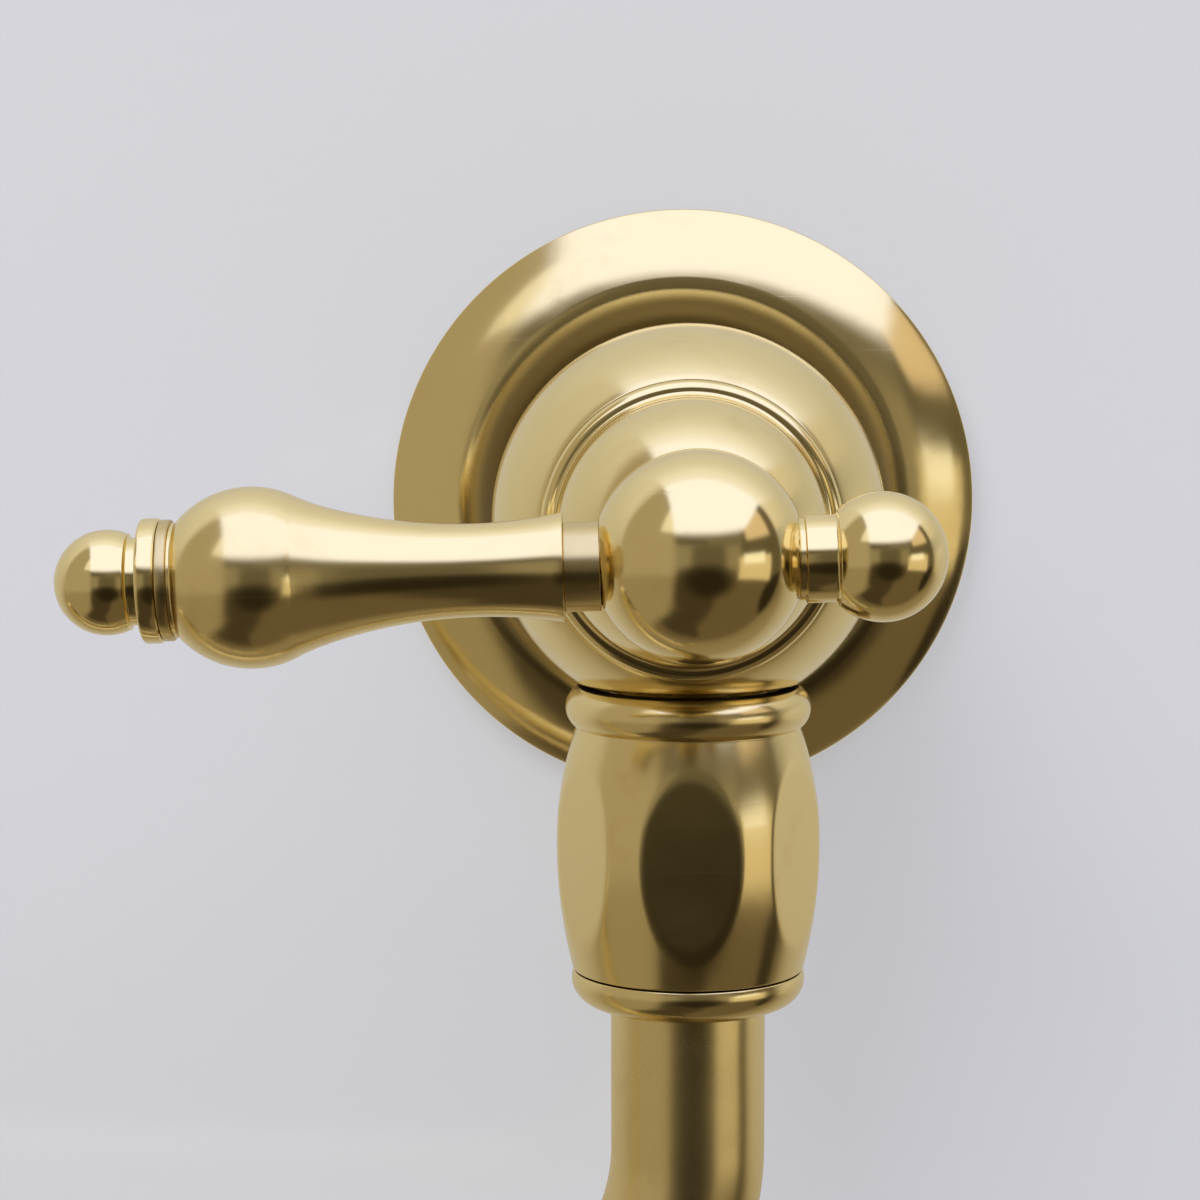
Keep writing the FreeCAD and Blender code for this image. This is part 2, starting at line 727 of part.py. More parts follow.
def swivel(prefix, nipple, nut, end_ring, seat):
    """A swivel joint's fixed side, the nipple and its barrel nut, and the turning spigot inside."""
    thread_start = d.outlet_flat - d.outlet_thread_length
    thread = d.outlet_thread_radius - d.running_gap
    nut_top = d.outlet_flat + d.nut_gap
    collar = nut_top + d.nut_gap
    spigot_bore = d.spigot_radius + d.running_gap
    turned(nipple, [
        (d.outlet_bore, thread_start),
        (thread, thread_start),
        (thread, collar),
        (d.nut_thread_radius, collar),
        (d.nut_thread_radius, d.nut_thread_end),
        (spigot_bore, d.nut_thread_end),
        (spigot_bore, d.spigot_seat),
        (d.outlet_bore, d.spigot_seat),
    ], seat)
    barrel_nut(nut, nut_top, seat)
    ring_top = d.nut_foot + d.seam_gap
    ring_foot = ring_top + d.end_ring_height
    lower_washer_end = d.spigot_collar_end + d.nut_gap
    gland = lower_washer_end + d.running_gap
    ring_round = d.end_ring_height / 2
    turned(end_ring, [
        (d.tube_radius + d.running_gap, gland),
        (d.nut_bore - d.running_gap, gland),
        (d.nut_bore - d.running_gap, ring_top),
        (d.end_ring_radius - d.seam_gap, ring_top),
        Via(d.end_ring_radius, ring_top + d.end_ring_height / 3),
        (d.end_ring_radius - d.seam_gap * 2, ring_foot - ring_round * 0.8),
        Via(d.end_ring_radius - ring_round * 0.7, ring_foot - ring_round * 0.25),
        (d.end_ring_radius - ring_round * 1.4, ring_foot),
        (d.tube_radius + d.running_gap, ring_foot),
    ], seat)
    ring_half = d.spigot_ring_radius + d.running_gap
    ring_floor = d.spigot_radius - ring_half * 2
    heights = [d.spigot_ring_start, d.spigot_ring_start + d.spigot_ring_pitch]
    grooves = []
    for height in heights:
        grooves += [
            (d.spigot_radius, height - ring_half),
            (ring_floor, height - ring_half),
            (ring_floor, height + ring_half),
            (d.spigot_radius, height + ring_half),
        ]
    top = d.spigot_seat + d.seam_gap
    sleeve = d.tube_radius - d.tube_wall - d.running_gap
    turned(prefix + "_spigot", [
        (d.spigot_bore, top),
        (d.spigot_radius, top),
    ] + grooves + [
        (d.spigot_radius, d.spigot_collar_start),
        (d.spigot_collar_radius, d.spigot_collar_start),
        (d.spigot_collar_radius, d.spigot_collar_end),
        (sleeve, d.spigot_collar_end),
        (sleeve, d.spigot_collar_end + d.spigot_tail),
        (d.spigot_bore, d.spigot_collar_end + d.spigot_tail),
    ], seat)
    rubber_ring(prefix + "_o_rings", ring_floor + d.spigot_ring_radius, d.spigot_ring_radius, seat, heights)
    flat_rings(prefix + "_washers", seat, [
        (spigot_bore, d.spigot_collar_radius, d.nut_thread_end + d.running_gap, d.spigot_collar_start),
        (d.tube_radius + d.running_gap, d.spigot_collar_radius, d.spigot_collar_end, lower_washer_end),
    ])


def barrel_nut(name, nut_top, seat):
    """The barrel nut: a rolled bead, a swelling barrel, and six spanner flats ground into the swell."""
    bead_end = nut_top + d.nut_bead_width
    nut = turned(name, [
        (d.nut_thread_radius + d.running_gap, nut_top),
        (d.nut_mouth_radius, nut_top),
        Via(d.nut_bead_radius, nut_top + d.nut_bead_width / 2),
        (d.nut_neck_radius, bead_end),
        Via((d.nut_neck_radius + d.nut_shoulder_radius * 2) / 3, d.nut_shoulder_middle),
        (d.nut_shoulder_radius, d.nut_shoulder_end),
        Via(d.nut_barrel_radius, d.nut_barrel_middle),
        (d.nut_foot_radius, d.nut_foot),
        (d.nut_bore, d.nut_foot),
        (d.nut_bore, d.nut_thread_end + d.nut_gap),
        (d.nut_thread_radius + d.running_gap, d.nut_thread_end + d.nut_gap),
    ], seat)
    sketch = new_sketch(nut, "flat", "XY_Plane", (0, 0, d.flat_start))
    far = d.nut_barrel_radius + d.nut_gap
    draw(sketch, [
        (-d.nut_bore, d.flat_distance),
        (d.nut_bore, d.flat_distance),
        (d.nut_bore, far),
        (-d.nut_bore, far),
    ])
    cut = nut.newObject("PartDesign::Pocket", name + "_flat_cut")
    cut.Profile = sketch
    cut.Reversed = True
    bind(cut, "Length", d.nut_foot - d.flat_start)
    repeated(nut, cut, 6)


def bent_tube(name, route, seat):
    """A drawn tube along straight runs and bends that lie in one upright plane."""
    body = doc.addObject("PartDesign::Body", name)
    path = new_sketch(body, "path", "XZ_Plane")
    draw(path, route, closed=False)
    section = new_sketch(body, "section", "XY_Plane", (0, 0, route[0][1]))
    ring(section, 0, 0, d.tube_radius)
    ring(section, 0, 0, d.tube_radius - d.tube_wall)
    doc.recompute()
    tube = body.newObject("PartDesign::AdditivePipe", name + "_drawing")
    tube.Profile = section
    tube.Spine = (path, ["Edge%d" % (count + 1) for count in range(len(path.Shape.Edges))])
    settle(body, seat)
    return keep(body, name)


def heading_seat(base, heading):
    return Seat(base, Rotation(Vector(0, 0, 1), heading.value))


def first_arm(base):
    """The tube that hangs from the wall valve, and the ball elbow brazed on its far end."""
    level = -(d.bend_start + d.tube_bend)
    socket_end = d.arm_length - chord(d.elbow_radius, d.tube_radius) + d.elbow_socket
    seat = heading_seat(base, d.arm_heading)
    bent_tube("first_tube", [
        (0, -d.spigot_collar_end),
        (0, -d.bend_start),
        round_via(d.tube_bend, -d.bend_start, d.tube_bend, 225),
        (d.tube_bend, level),
        (socket_end, level),
    ], seat)
    flipped = Rotation(Vector(0, 1, 0), 90).multiply(Rotation(Vector(0, 0, 1), 180))
    along = Rotation(Vector(0, 0, 1), d.arm_heading.value).multiply(flipped)
    reach_x = d.arm_length * cosine(d.arm_heading)
    reach_y = d.arm_length * sine(d.arm_heading)
    elbow_base = (base[0] + reach_x, base[1] + reach_y, level)
    socket = d.tube_radius + d.running_gap
    mouth = chord(d.elbow_radius, socket)
    depth = mouth - d.elbow_socket
    elbow = turned("elbow_ball", [
        (socket, -mouth),
        Via(d.elbow_radius, 0),
        (0, d.elbow_radius),
        (0, d.elbow_bore_end),
        (d.elbow_bore, d.elbow_bore_end),
        (d.elbow_bore, -depth),
        (socket, -depth),
    ], Seat(elbow_base, along))
    outlet(elbow, "XZ_Plane", (0, 0, 0), Size(180, "180"), d.elbow_flat, d.elbow_radius, zero)
    return (elbow_base[0], elbow_base[1], level + d.outlet_flat - d.elbow_flat)


def second_arm(base):
    """The lower tube, bent down at its end to the spout."""
    level = -(d.bend_start + d.tube_bend)
    tip = level - d.tube_bend - d.spout_drop
    bent_tube("second_tube", [
        (0, -d.spigot_collar_end),
        (0, -d.bend_start),
        round_via(d.tube_bend, -d.bend_start, d.tube_bend, 225),
        (d.tube_bend, level),
        (d.spout_length - d.tube_bend, level),
        round_via(d.spout_length - d.tube_bend, level - d.tube_bend, d.tube_bend, 45),
        (d.spout_length, level - d.tube_bend),
        (d.spout_length, tip),
    ], heading_seat(base, d.spout_heading))
    reach_x = d.spout_length * cosine(d.spout_heading)
    reach_y = d.spout_length * sine(d.spout_heading)
    spout((base[0] + reach_x, base[1] + reach_y, base[2] + tip))


def spout(tip):
    """The nozzle brazed on the tube, with the screw-in aerator; lengths count down from the tube's end."""
    seat = Seat(tip, downwards)
    sleeve = d.tube_radius + d.running_gap
    thread = d.nozzle_thread_radius
    end = d.nozzle_length - d.nozzle_grip
    bead = d.end_ring_height
    turned("spout_nozzle", [
        (sleeve, -d.nozzle_grip),
        (d.nozzle_radius - d.tube_wall, -d.nozzle_grip),
        Via(d.nozzle_bead_radius, bead / 2 - d.nozzle_grip),
        (d.nozzle_radius - d.tube_wall, bead - d.nozzle_grip),
        Via(d.nozzle_radius - d.tube_wall / 4, bead),
        (d.nozzle_radius, end),
        (thread, end),
        (thread, 0),
        (sleeve, 0),
    ], seat)
    washer_end = d.washer_thickness
    flat_rings("aerator_washer", seat, [(d.aerator_bore, thread, zero, washer_end)])
    rim = end + d.seam_gap
    foot = rim + d.aerator_rim
    male = thread - d.running_gap
    turned("aerator_housing", [
        (d.aerator_bore, washer_end),
        (male, washer_end),
        (male, rim),
        (d.nozzle_radius, rim),
        (d.nozzle_radius, foot - d.tube_wall),
        round_via(d.nozzle_radius - d.tube_wall, foot - d.tube_wall, d.tube_wall, 45),
        (d.nozzle_radius - d.tube_wall, foot),
        (d.aerator_bore, foot),
    ], seat)
    core = d.aerator_bore - d.running_gap
    insert = turned("aerator_insert", [
        (0, washer_end),
        (core, washer_end),
        (core, foot - d.tube_wall),
        (0, foot - d.tube_wall),
    ], seat)
    for step in (1, 2):
        offset = d.aerator_hole_pitch * step
        hole = drilled(insert, "holes%d" % step, washer_end, foot, [(offset, zero, d.aerator_hole_radius)])
        repeated(insert, hole, 6 * step)


def write_parts():
    doc.recompute()
    failed = [piece.Name for piece in doc.Objects if {"Invalid", "Error"} & set(piece.State)]
    failed += [node.Label for node in nodes if node.Shape.isNull() or not node.Shape.isValid()]
    if failed:
        raise RuntimeError("these did not build: " + ", ".join(failed))
    os.makedirs("parts", exist_ok=True)
    for node in nodes:
        node.Shape.exportStep("parts/%s.step" % node.Label)
        print(node.Label, len(node.Shape.Solids), round(node.Shape.Volume, 1))


stem_end = wall_side()
ball_body(stem_end)
bonnet()
cartridge()
lever()
joint_base = (zero, -d.body_reach, zero)
swivel("swivel", "outlet_nipple", "swivel_nut", "swivel_end_ring", Seat(joint_base, downwards))
elbow_joint = first_arm(joint_base)
swivel("elbow", "elbow_nipple", "elbow_nut", "elbow_end_ring", Seat(elbow_joint, downwards))
second_arm(elbow_joint)
write_parts()
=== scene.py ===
import json
import math
import bpy
from mathutils import Matrix, Vector

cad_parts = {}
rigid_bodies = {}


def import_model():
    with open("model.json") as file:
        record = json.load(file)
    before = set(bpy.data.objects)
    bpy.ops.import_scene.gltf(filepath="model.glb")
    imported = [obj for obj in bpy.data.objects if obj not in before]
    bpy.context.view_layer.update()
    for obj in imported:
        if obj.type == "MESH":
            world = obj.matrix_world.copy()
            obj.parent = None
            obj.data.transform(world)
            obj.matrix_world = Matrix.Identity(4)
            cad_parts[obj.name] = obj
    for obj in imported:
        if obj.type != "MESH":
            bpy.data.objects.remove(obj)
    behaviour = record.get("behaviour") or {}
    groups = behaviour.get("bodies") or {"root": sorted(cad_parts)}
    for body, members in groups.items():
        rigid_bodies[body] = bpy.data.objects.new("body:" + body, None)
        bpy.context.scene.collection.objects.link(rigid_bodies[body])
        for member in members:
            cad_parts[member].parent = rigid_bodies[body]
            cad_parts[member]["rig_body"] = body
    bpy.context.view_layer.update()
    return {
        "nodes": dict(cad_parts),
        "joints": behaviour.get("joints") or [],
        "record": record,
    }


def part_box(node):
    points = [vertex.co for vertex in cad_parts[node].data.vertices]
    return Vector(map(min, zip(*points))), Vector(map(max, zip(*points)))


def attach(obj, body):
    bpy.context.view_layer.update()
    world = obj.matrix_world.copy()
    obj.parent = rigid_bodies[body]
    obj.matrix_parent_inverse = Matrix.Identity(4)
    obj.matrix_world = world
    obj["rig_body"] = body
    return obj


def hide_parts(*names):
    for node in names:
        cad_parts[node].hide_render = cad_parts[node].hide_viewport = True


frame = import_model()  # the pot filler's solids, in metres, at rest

mm = 0.001  # the pieces below are in millimetres and degrees, the stage around them in metres
weld = 0.001 * mm  # points nearer than this are one point
uprightNormal = 0.999  # a face whose normal stands this upright is level
joints = {joint["name"]: Vector(joint["pos_m"]) for joint in frame["joints"]}
slots = {part["node"]: part["material_slot"] for part in frame["record"]["subparts"]}
print("frame loaded:", len(frame["nodes"]), "nodes")


# Shader maths as plain expressions
class Wire:
    def __init__(self, graph, socket):
        self.graph = graph
        self.socket = socket

    def maths(self, operation, first, second):
        return self.graph.add("ShaderNodeMath", {"operation": operation}, {0: first, 1: second})

    def __add__(self, other):
        return self.maths("ADD", self, other)

    def __radd__(self, other):
        return self.maths("ADD", other, self)

    def __sub__(self, other):
        return self.maths("SUBTRACT", self, other)

    def __rsub__(self, other):
        return self.maths("SUBTRACT", other, self)

    def __mul__(self, other):
        return self.maths("MULTIPLY", self, other)

    def __rmul__(self, other):
        return self.maths("MULTIPLY", other, self)


class Graph:
    def __init__(self, tree):
        self.tree = tree
        tree.nodes.clear()

    def add(self, kind, settings=None, inputs=None, output=0):
        node = self.tree.nodes.new(kind)
        for name, value in (settings or {}).items():
            if name == "stops":
                while len(node.color_ramp.elements) < len(value):
                    node.color_ramp.elements.new(1.0)
                for stop, (place, colour) in zip(node.color_ramp.elements, value):
                    stop.position = place
                    stop.color = (*colour, 1.0)
            else:
                setattr(node, name, value)
        for name, value in (inputs or {}).items():
            socket = node.inputs[name]
            if isinstance(value, Wire):
                self.tree.links.new(value.socket, socket)
            else:
                socket.default_value = value
        return Wire(self, node.outputs[output]) if len(node.outputs) else None

    def noise(self, vector, scale, detail=2.0, roughness=0.5):
        return self.add("ShaderNodeTexNoise", {}, {"Vector": vector, "Scale": scale, "Detail": detail,
                                                   "Roughness": roughness})

    def stretched(self, vector, scale, turn=(0.0, 0.0, 0.0)):
        angles = [math.radians(angle) for angle in turn]
        return self.add("ShaderNodeMapping", {}, {"Vector": vector, "Rotation": angles, "Scale": scale})

    def ramp(self, value, low, high):
        return self.add("ShaderNodeMapRange", {"interpolation_type": "SMOOTHSTEP"},
                        {"Value": value, "From Min": low, "From Max": high})

    def blend(self, share, first, second):
        return self.add("ShaderNodeMix", {"data_type": "RGBA"}, {0: share, 6: first, 7: second}, 2)

    def bump(self, height, depth, below=None):
        inputs = {"Height": height, "Distance": depth, "Strength": 1.0}
        if below:
            inputs["Normal"] = below
        return self.add("ShaderNodeBump", {}, inputs)


def newMaterial(name):
    material = bpy.data.materials.new(name)
    material.use_nodes = True
    return material, Graph(material.node_tree)


def surface(graph, inputs):
    shader = graph.add("ShaderNodeBsdfPrincipled", {}, inputs)
    graph.add("ShaderNodeOutputMaterial", {}, {"Surface": shader})


# Polished bare brass: turned rings or drawn lines, haze, hairline scratches, pits and a little tarnish
brass = {
    "colour": (0.87, 0.72, 0.365, 1.0),
    "tarnish": (0.70, 0.52, 0.24, 1.0),
    "tarnishShare": 0.45,
    "darkened": (0.36, 0.255, 0.105, 1.0),
    "recess": (0.44, 0.36, 0.175, 1.0),
    "recessShare": 0.92,
    "recessDulling": 0.37,
    "pit": (0.16, 0.10, 0.05, 1.0),
    "pitShare": 0.8,
    "pitScale": 420.0,
    "pitEdge": (0.035, 0.015),
    "pitPick": (0.985, 0.99),  # few of the cells have a pit
    "hazeScale": 60.0,
    "hazeEdge": (0.42, 0.66),
    "stainScale": 210.0,
    "stainEdge": (0.50, 0.78),
    "ringScale": (25.0, 25.0, 2400.0),
    "lineScale": (1700.0, 1700.0, 16.0),
    "lineDepth": 0.0022,
    "scratchTurns": ((20, 35, 0), (75, -20, 40), (-30, 60, 15)),
    "scratchScale": (45.0, 70.0, 3800.0),
    "scratchEdge": (0.75, 0.82),
    "scratchDepth": 0.0020,
    "waveScale": 75.0,
    "rippleScale": 300.0,
    "rippleShare": 0.12,
    "hazeDulling": 0.10,
    "scratchDulling": 0.10,
    "tarnishDulling": 0.06,
}


def polishedBrass(name, gloss, rings, lines, scratches, wave, darkening=0.0, hollow=None):
    material, graph = newMaterial(name)
    grain = graph.add("ShaderNodeAttribute", {"attribute_name": "grain"}, {}, "Vector")
    spot = graph.add("ShaderNodeTexCoord", {}, {}, "Object")
    haze = graph.noise(spot, brass["hazeScale"], 3.0)
    stain = graph.noise(spot, brass["stainScale"], 5.0, 0.6)
    ringLines = graph.noise(graph.stretched(grain, brass["ringScale"]), 1.0, 3.0, 0.6)
    drawLines = graph.noise(graph.stretched(grain, brass["lineScale"]), 1.0, 3.0, 0.6)
    if hollow:  # from the outer to the inner of these radii the brass turns rougher and its colour darker, towards the recess tone
        radius = graph.add("ShaderNodeVectorMath", {"operation": "LENGTH"},
                           {0: graph.stretched(grain, (1.0, 1.0, 0.0))}, "Value")
        depth = graph.ramp(radius, hollow[1] * mm, hollow[0] * mm)
        gloss = depth * brass["recessDulling"] + gloss
    hairlines = 0.0
    for turn in brass["scratchTurns"]:
        strand = graph.noise(graph.stretched(spot, brass["scratchScale"], turn), 1.0, 1.0)
        hairlines = graph.ramp(strand, *brass["scratchEdge"]) + hairlines
    cells = {"Vector": spot, "Scale": brass["pitScale"]}
    pitCell = graph.add("ShaderNodeTexVoronoi", {}, cells)
    pitTone = graph.add("ShaderNodeTexVoronoi", {}, cells, "Color")
    pitPick = graph.add("ShaderNodeSeparateColor", {}, {"Color": pitTone})
    pits = graph.ramp(pitCell, *brass["pitEdge"]) * graph.ramp(pitPick, *brass["pitPick"])
    tarnish = graph.ramp(stain, *brass["stainEdge"]) * graph.ramp(haze, *brass["hazeEdge"])
    colour = graph.blend(tarnish * brass["tarnishShare"], brass["colour"], brass["tarnish"])
    colour = graph.blend(darkening + (stain - 0.5) * darkening, colour, brass["darkened"])
    if hollow:
        colour = graph.blend(depth * brass["recessShare"], colour, brass["recess"])
    colour = graph.blend(pits * brass["pitShare"], colour, brass["pit"])
    roughness = gloss + (haze - 0.5) * brass["hazeDulling"] + tarnish * brass["tarnishDulling"]
    roughness = roughness + hairlines * scratches * brass["scratchDulling"]
    ripple = wave * brass["rippleShare"]
    normal = graph.bump(graph.noise(spot, brass["waveScale"], 1.0), wave * mm)
    normal = graph.bump(graph.noise(spot, brass["rippleScale"], 1.0), ripple * mm, normal)
    normal = graph.bump(ringLines * rings + drawLines * lines, brass["lineDepth"] * mm, normal)
    normal = graph.bump(hairlines * -scratches, brass["scratchDepth"] * mm, normal)
    surface(graph, {"Base Color": colour, "Metallic": 1.0, "Roughness": roughness, "Normal": normal})
    return material


# Painted shade: the faces inside the narrow gaps between parts, painted as near-black mottled brass to stand
# in for the deep shade there
gapShade = {"dark": (0.02, 0.013, 0.007, 1.0), "pale": (0.10, 0.062, 0.028, 1.0), "stainScale": 900.0,
          "metallic": 0.6, "gloss": 0.45, "dulling": 0.2}


def gapShadeBrass(name):
    material, graph = newMaterial(name)
    spot = graph.add("ShaderNodeTexCoord", {}, {}, "Object")
    stain = graph.noise(spot, gapShade["stainScale"], 4.0)
    colour = graph.blend(stain, gapShade["dark"], gapShade["pale"])
    surface(graph, {"Base Color": colour, "Metallic": gapShade["metallic"],
                    "Roughness": gapShade["gloss"] + stain * gapShade["dulling"]})
    return material


# Rubber, ceramic and plastics: the darkest and palest tone, the grain's scale and the gloss
mouldings = {
    "black_rubber": ((0.010, 0.010, 0.010), (0.035, 0.034, 0.033), 1500.0, 0.45),
    "white_ceramic": ((0.82, 0.80, 0.76), (0.92, 0.91, 0.88), 2500.0, 0.12),
    "white_plastic": ((0.78, 0.77, 0.74), (0.88, 0.87, 0.84), 1200.0, 0.38),
    "grey_plastic": ((0.20, 0.205, 0.21), (0.33, 0.335, 0.34), 1200.0, 0.40),
}
mouldedFleck = {"depth": 0.02, "dulling": 0.15}


def mouldedPart(name, dark, pale, grainScale, gloss):
    material, graph = newMaterial(name)
    spot = graph.add("ShaderNodeTexCoord", {}, {}, "Object")
    fleck = graph.noise(spot, grainScale, 4.0)
    colour = graph.blend(fleck, (*dark, 1.0), (*pale, 1.0))
    normal = graph.bump(fleck, mouldedFleck["depth"] * mm)
    surface(graph, {"Base Color": colour, "Roughness": gloss + fleck * mouldedFleck["dulling"],
                    "Normal": normal})
    return material


finishes = {
    "mirror": polishedBrass("mirror_brass", gloss=0.13, rings=0.35, lines=0.05, scratches=0.5, wave=0.09),
    "rose": polishedBrass("rose_brass", gloss=0.15, rings=0.35, lines=0.05, scratches=0.5, wave=0.14,
                          hollow=(22.2, 24.2)),
    "cast": polishedBrass("ball_brass", gloss=0.17, rings=0.45, lines=0.10, scratches=1.0, wave=0.10),
    "grip": polishedBrass("grip_brass", gloss=0.17, rings=0.75, lines=0.15, scratches=0.6, wave=0.08),
    "nut": polishedBrass("nut_brass", gloss=0.19, rings=0.20, lines=1.00, scratches=0.6, wave=0.12),
    "tube": polishedBrass("tube_brass", gloss=0.26, rings=0.10, lines=0.75, scratches=0.3, wave=0.12),
    # the dull and darkened finishes are rougher and blend, mottled, towards a darker brass all over
    "dull": polishedBrass("dull_brass", gloss=0.34, rings=0.60, lines=0.10, scratches=0.4, wave=0.06,
                          darkening=0.62),
    "darkened": polishedBrass("darkened_brass", gloss=0.26, rings=0.80, lines=0.10, scratches=0.4, wave=0.06,
                          darkening=0.35),
    # dark: painted shade for the faces inside the gaps between parts
    "dark": gapShadeBrass("painted_gap_shade"),
}
for name, look in mouldings.items():
    finishes[name] = mouldedPart(name, *look)
print("finishes mixed:", len(finishes))


# Modelling with Blender's operators: outlines of radius and length, turned about a seat's axis
class Seat:
    def __init__(self, origin, along, out):
        self.origin = Vector(origin)
        self.along = Vector(along).normalized()
        self.out = Vector(out).normalized()
        self.side = self.along.cross(self.out)

    def place(self, radius, length):
        return self.origin + self.out * (radius * mm) + self.along * (length * mm)

    def grain(self, point):
        offset = point - self.origin
        return Vector((offset.dot(self.out), offset.dot(self.side), offset.dot(self.along)))


def via(radius, length):  # a point that an arc passes through
    return (radius, length, "via")


def arcCentre(a, b, c):
    aa, bb, cc = (point.length_squared for point in (a, b, c))
    turn = 2 * (a.x * (b.y - c.y) + b.x * (c.y - a.y) + c.x * (a.y - b.y))
    x = (aa * (b.y - c.y) + bb * (c.y - a.y) + cc * (a.y - b.y)) / turn
    y = (aa * (c.x - b.x) + bb * (a.x - c.x) + cc * (b.x - a.x)) / turn
    return Vector((x, y))


# The fewest steps of an arc, how corners are softened, which angles are sharp, and how near is touching
edges = {"fewest": 4, "soften": 0.12, "segments": 3, "sharp": 25, "smooth": 28, "same": 0.001, "touch": 0.01}


# No step round an arc turns through more than finest degrees or is longer than longest
def arcSteps(start, middle, end, finest, longest):
    centre = arcCentre(start, middle, end)
    first = math.atan2(start.y - centre.y, start.x - centre.x)
    sweep = 0.0
    for point, previous in ((middle, start), (end, middle)):
        sweep += (point - centre).angle_signed(previous - centre)
    radius = (start - centre).length
    turns = abs(sweep) / math.radians(finest)
    count = max(edges["fewest"], math.ceil(turns), math.ceil(abs(sweep) * radius / longest))
    for step in range(1, count):
        angle = first + sweep * step / count
        yield centre + radius * Vector((math.cos(angle), math.sin(angle)))
    yield end


def outlinePoints(outline, finest, longest):
    points = [Vector(outline[0][:2])]
    corners = []
    middle = None
    for place in outline[1:]:
        if len(place) == 3:
            middle = Vector(place[:2])
            continue
        end = Vector(place)
        if middle is None:
            points.append(end)
        else:
            points.extend(arcSteps(points[-1], middle, end, finest, longest))
        corners.append(end)
        middle = None
    return points, corners


def drawOutline(name, seat, points):
    bpy.ops.object.select_all(action="DESELECT")
    bpy.ops.mesh.primitive_circle_add(vertices=3, radius=mm, location=seat.place(*points[0]))
    bpy.ops.object.transform_apply(location=True, rotation=True, scale=True)
    piece = bpy.context.object
    piece.name = name
    bpy.ops.object.mode_set(mode="EDIT")
    bpy.ops.mesh.select_all(action="SELECT")
    bpy.ops.mesh.merge(type="CENTER")  # the small circle becomes the first point
    for start, end in zip(points, points[1:]):
        step = seat.place(*end) - seat.place(*start)
        bpy.ops.mesh.extrude_vertices_move(TRANSFORM_OT_translate={"value": step})
    bpy.ops.mesh.select_all(action="SELECT")
    bpy.ops.mesh.remove_doubles(threshold=weld)
    return piece


def pickPoints(piece, wanted):
    bpy.ops.object.mode_set(mode="OBJECT")
    for part in (piece.data.vertices, piece.data.edges, piece.data.polygons):
        part.foreach_set("select", [False] * len(part))
    for point in piece.data.vertices:
        point.select = wanted(point.co)
    bpy.ops.object.mode_set(mode="EDIT")


def closeSkin():
    bpy.ops.mesh.select_all(action="SELECT")
    bpy.ops.mesh.remove_doubles(threshold=weld)
    bpy.ops.mesh.normals_make_consistent(inside=False)


def cutOff(cuts):
    for place, outwards in cuts:
        bpy.ops.mesh.select_all(action="SELECT")
        bpy.ops.mesh.bisect(plane_co=place, plane_no=outwards, use_fill=True, clear_outer=True,
                            threshold=weld)


def smoothSkin(piece):
    bpy.ops.object.mode_set(mode="OBJECT")
    bpy.ops.object.shade_smooth_by_angle(angle=math.radians(edges["smooth"]))
    bpy.ops.object.modifier_add(type="WEIGHTED_NORMAL")
    piece.modifiers[-1].keep_sharp = True
    bpy.ops.object.modifier_apply(modifier=piece.modifiers[-1].name)


def markGrain(piece, grainOf):
    grain = piece.data.attributes.new("grain", "FLOAT_VECTOR", "POINT")
    for value, point in zip(grain.data, piece.data.vertices):
        value.vector = grainOf(point.co)


# Turns an outline and replaces its node: flats are cut off it, press reshapes it, extra is a mesh that joins
# it and other is a second finish with the faces that have it
def turnPiece(node, seat, outline, finish, soften=edges["soften"], sides=144, finest=4.0, longest=20.0,
              flats=(), press=None, extra=None, other=None):
    points, corners = outlinePoints(outline, finest, longest)
    piece = drawOutline("polished_" + node, seat, points)
    sharp = [seat.place(*corner) for corner in corners if isCorner(corner, points)]
    pickPoints(piece, lambda place: any((place - corner).length < 2 * weld for corner in sharp))
    bpy.ops.mesh.bevel(offset=soften * mm, segments=edges["segments"], affect="VERTICES")
    bpy.ops.mesh.select_all(action="SELECT")
    bpy.ops.mesh.spin(steps=sides, angle=math.tau, center=seat.origin, axis=seat.along)
    closeSkin()
    cutOff(flats)
    if press:
        bpy.ops.object.mode_set(mode="OBJECT")
        for point in piece.data.vertices:
            point.co = press(point.co)
    smoothSkin(piece)
    markGrain(piece, seat.grain)
    if extra:
        markGrain(extra, seat.grain)
        extra.select_set(True)
        bpy.ops.object.join()
    finishPiece(piece, node, finish, other)


def isCorner(corner, points):
    if corner.x < edges["touch"]:  # on the axis
        return False
    near = [index for index, point in enumerate(points) if (point - corner).length < edges["same"]]
    before = points[near[0] - 1] if near[0] else points[-2]
    after = points[near[-1] + 1] if near[-1] + 1 < len(points) else points[1]
    return (corner - before).angle(after - corner) > math.radians(edges["sharp"])


def finishPiece(piece, node, finish, other=None):
    piece.data.materials.append(finishes[finish])
    if other:
        secondFinish, hasSecond = other
        piece.data.materials.append(finishes[secondFinish])
        for face in piece.data.polygons:
            if hasSecond(face):
                face.material_index = 1
    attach(piece, frame["nodes"][node]["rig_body"])
    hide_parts(node)


def chord(radius, offset):
    return math.sqrt(radius ** 2 - offset ** 2)


def onArc(across, along, radius, degrees):
    angle = math.radians(degrees)
    return via(across + radius * math.cos(angle), along + radius * math.sin(angle))


def onQuarter(across, along, radius, quarter):  # the middle of a quarter circle, the first being 1
    return onArc(across, along, radius, 90 * quarter - 45)


def onFlat(place):  # the faces of a flat cut across a piece's underside
    lowest = place.z + edges["touch"] * mm
    return lambda face: face.normal.z < -uprightNormal and face.center.z < lowest


outOfWall = Seat((0, 0, 0), (0, -1, 0), (1, 0, 0))

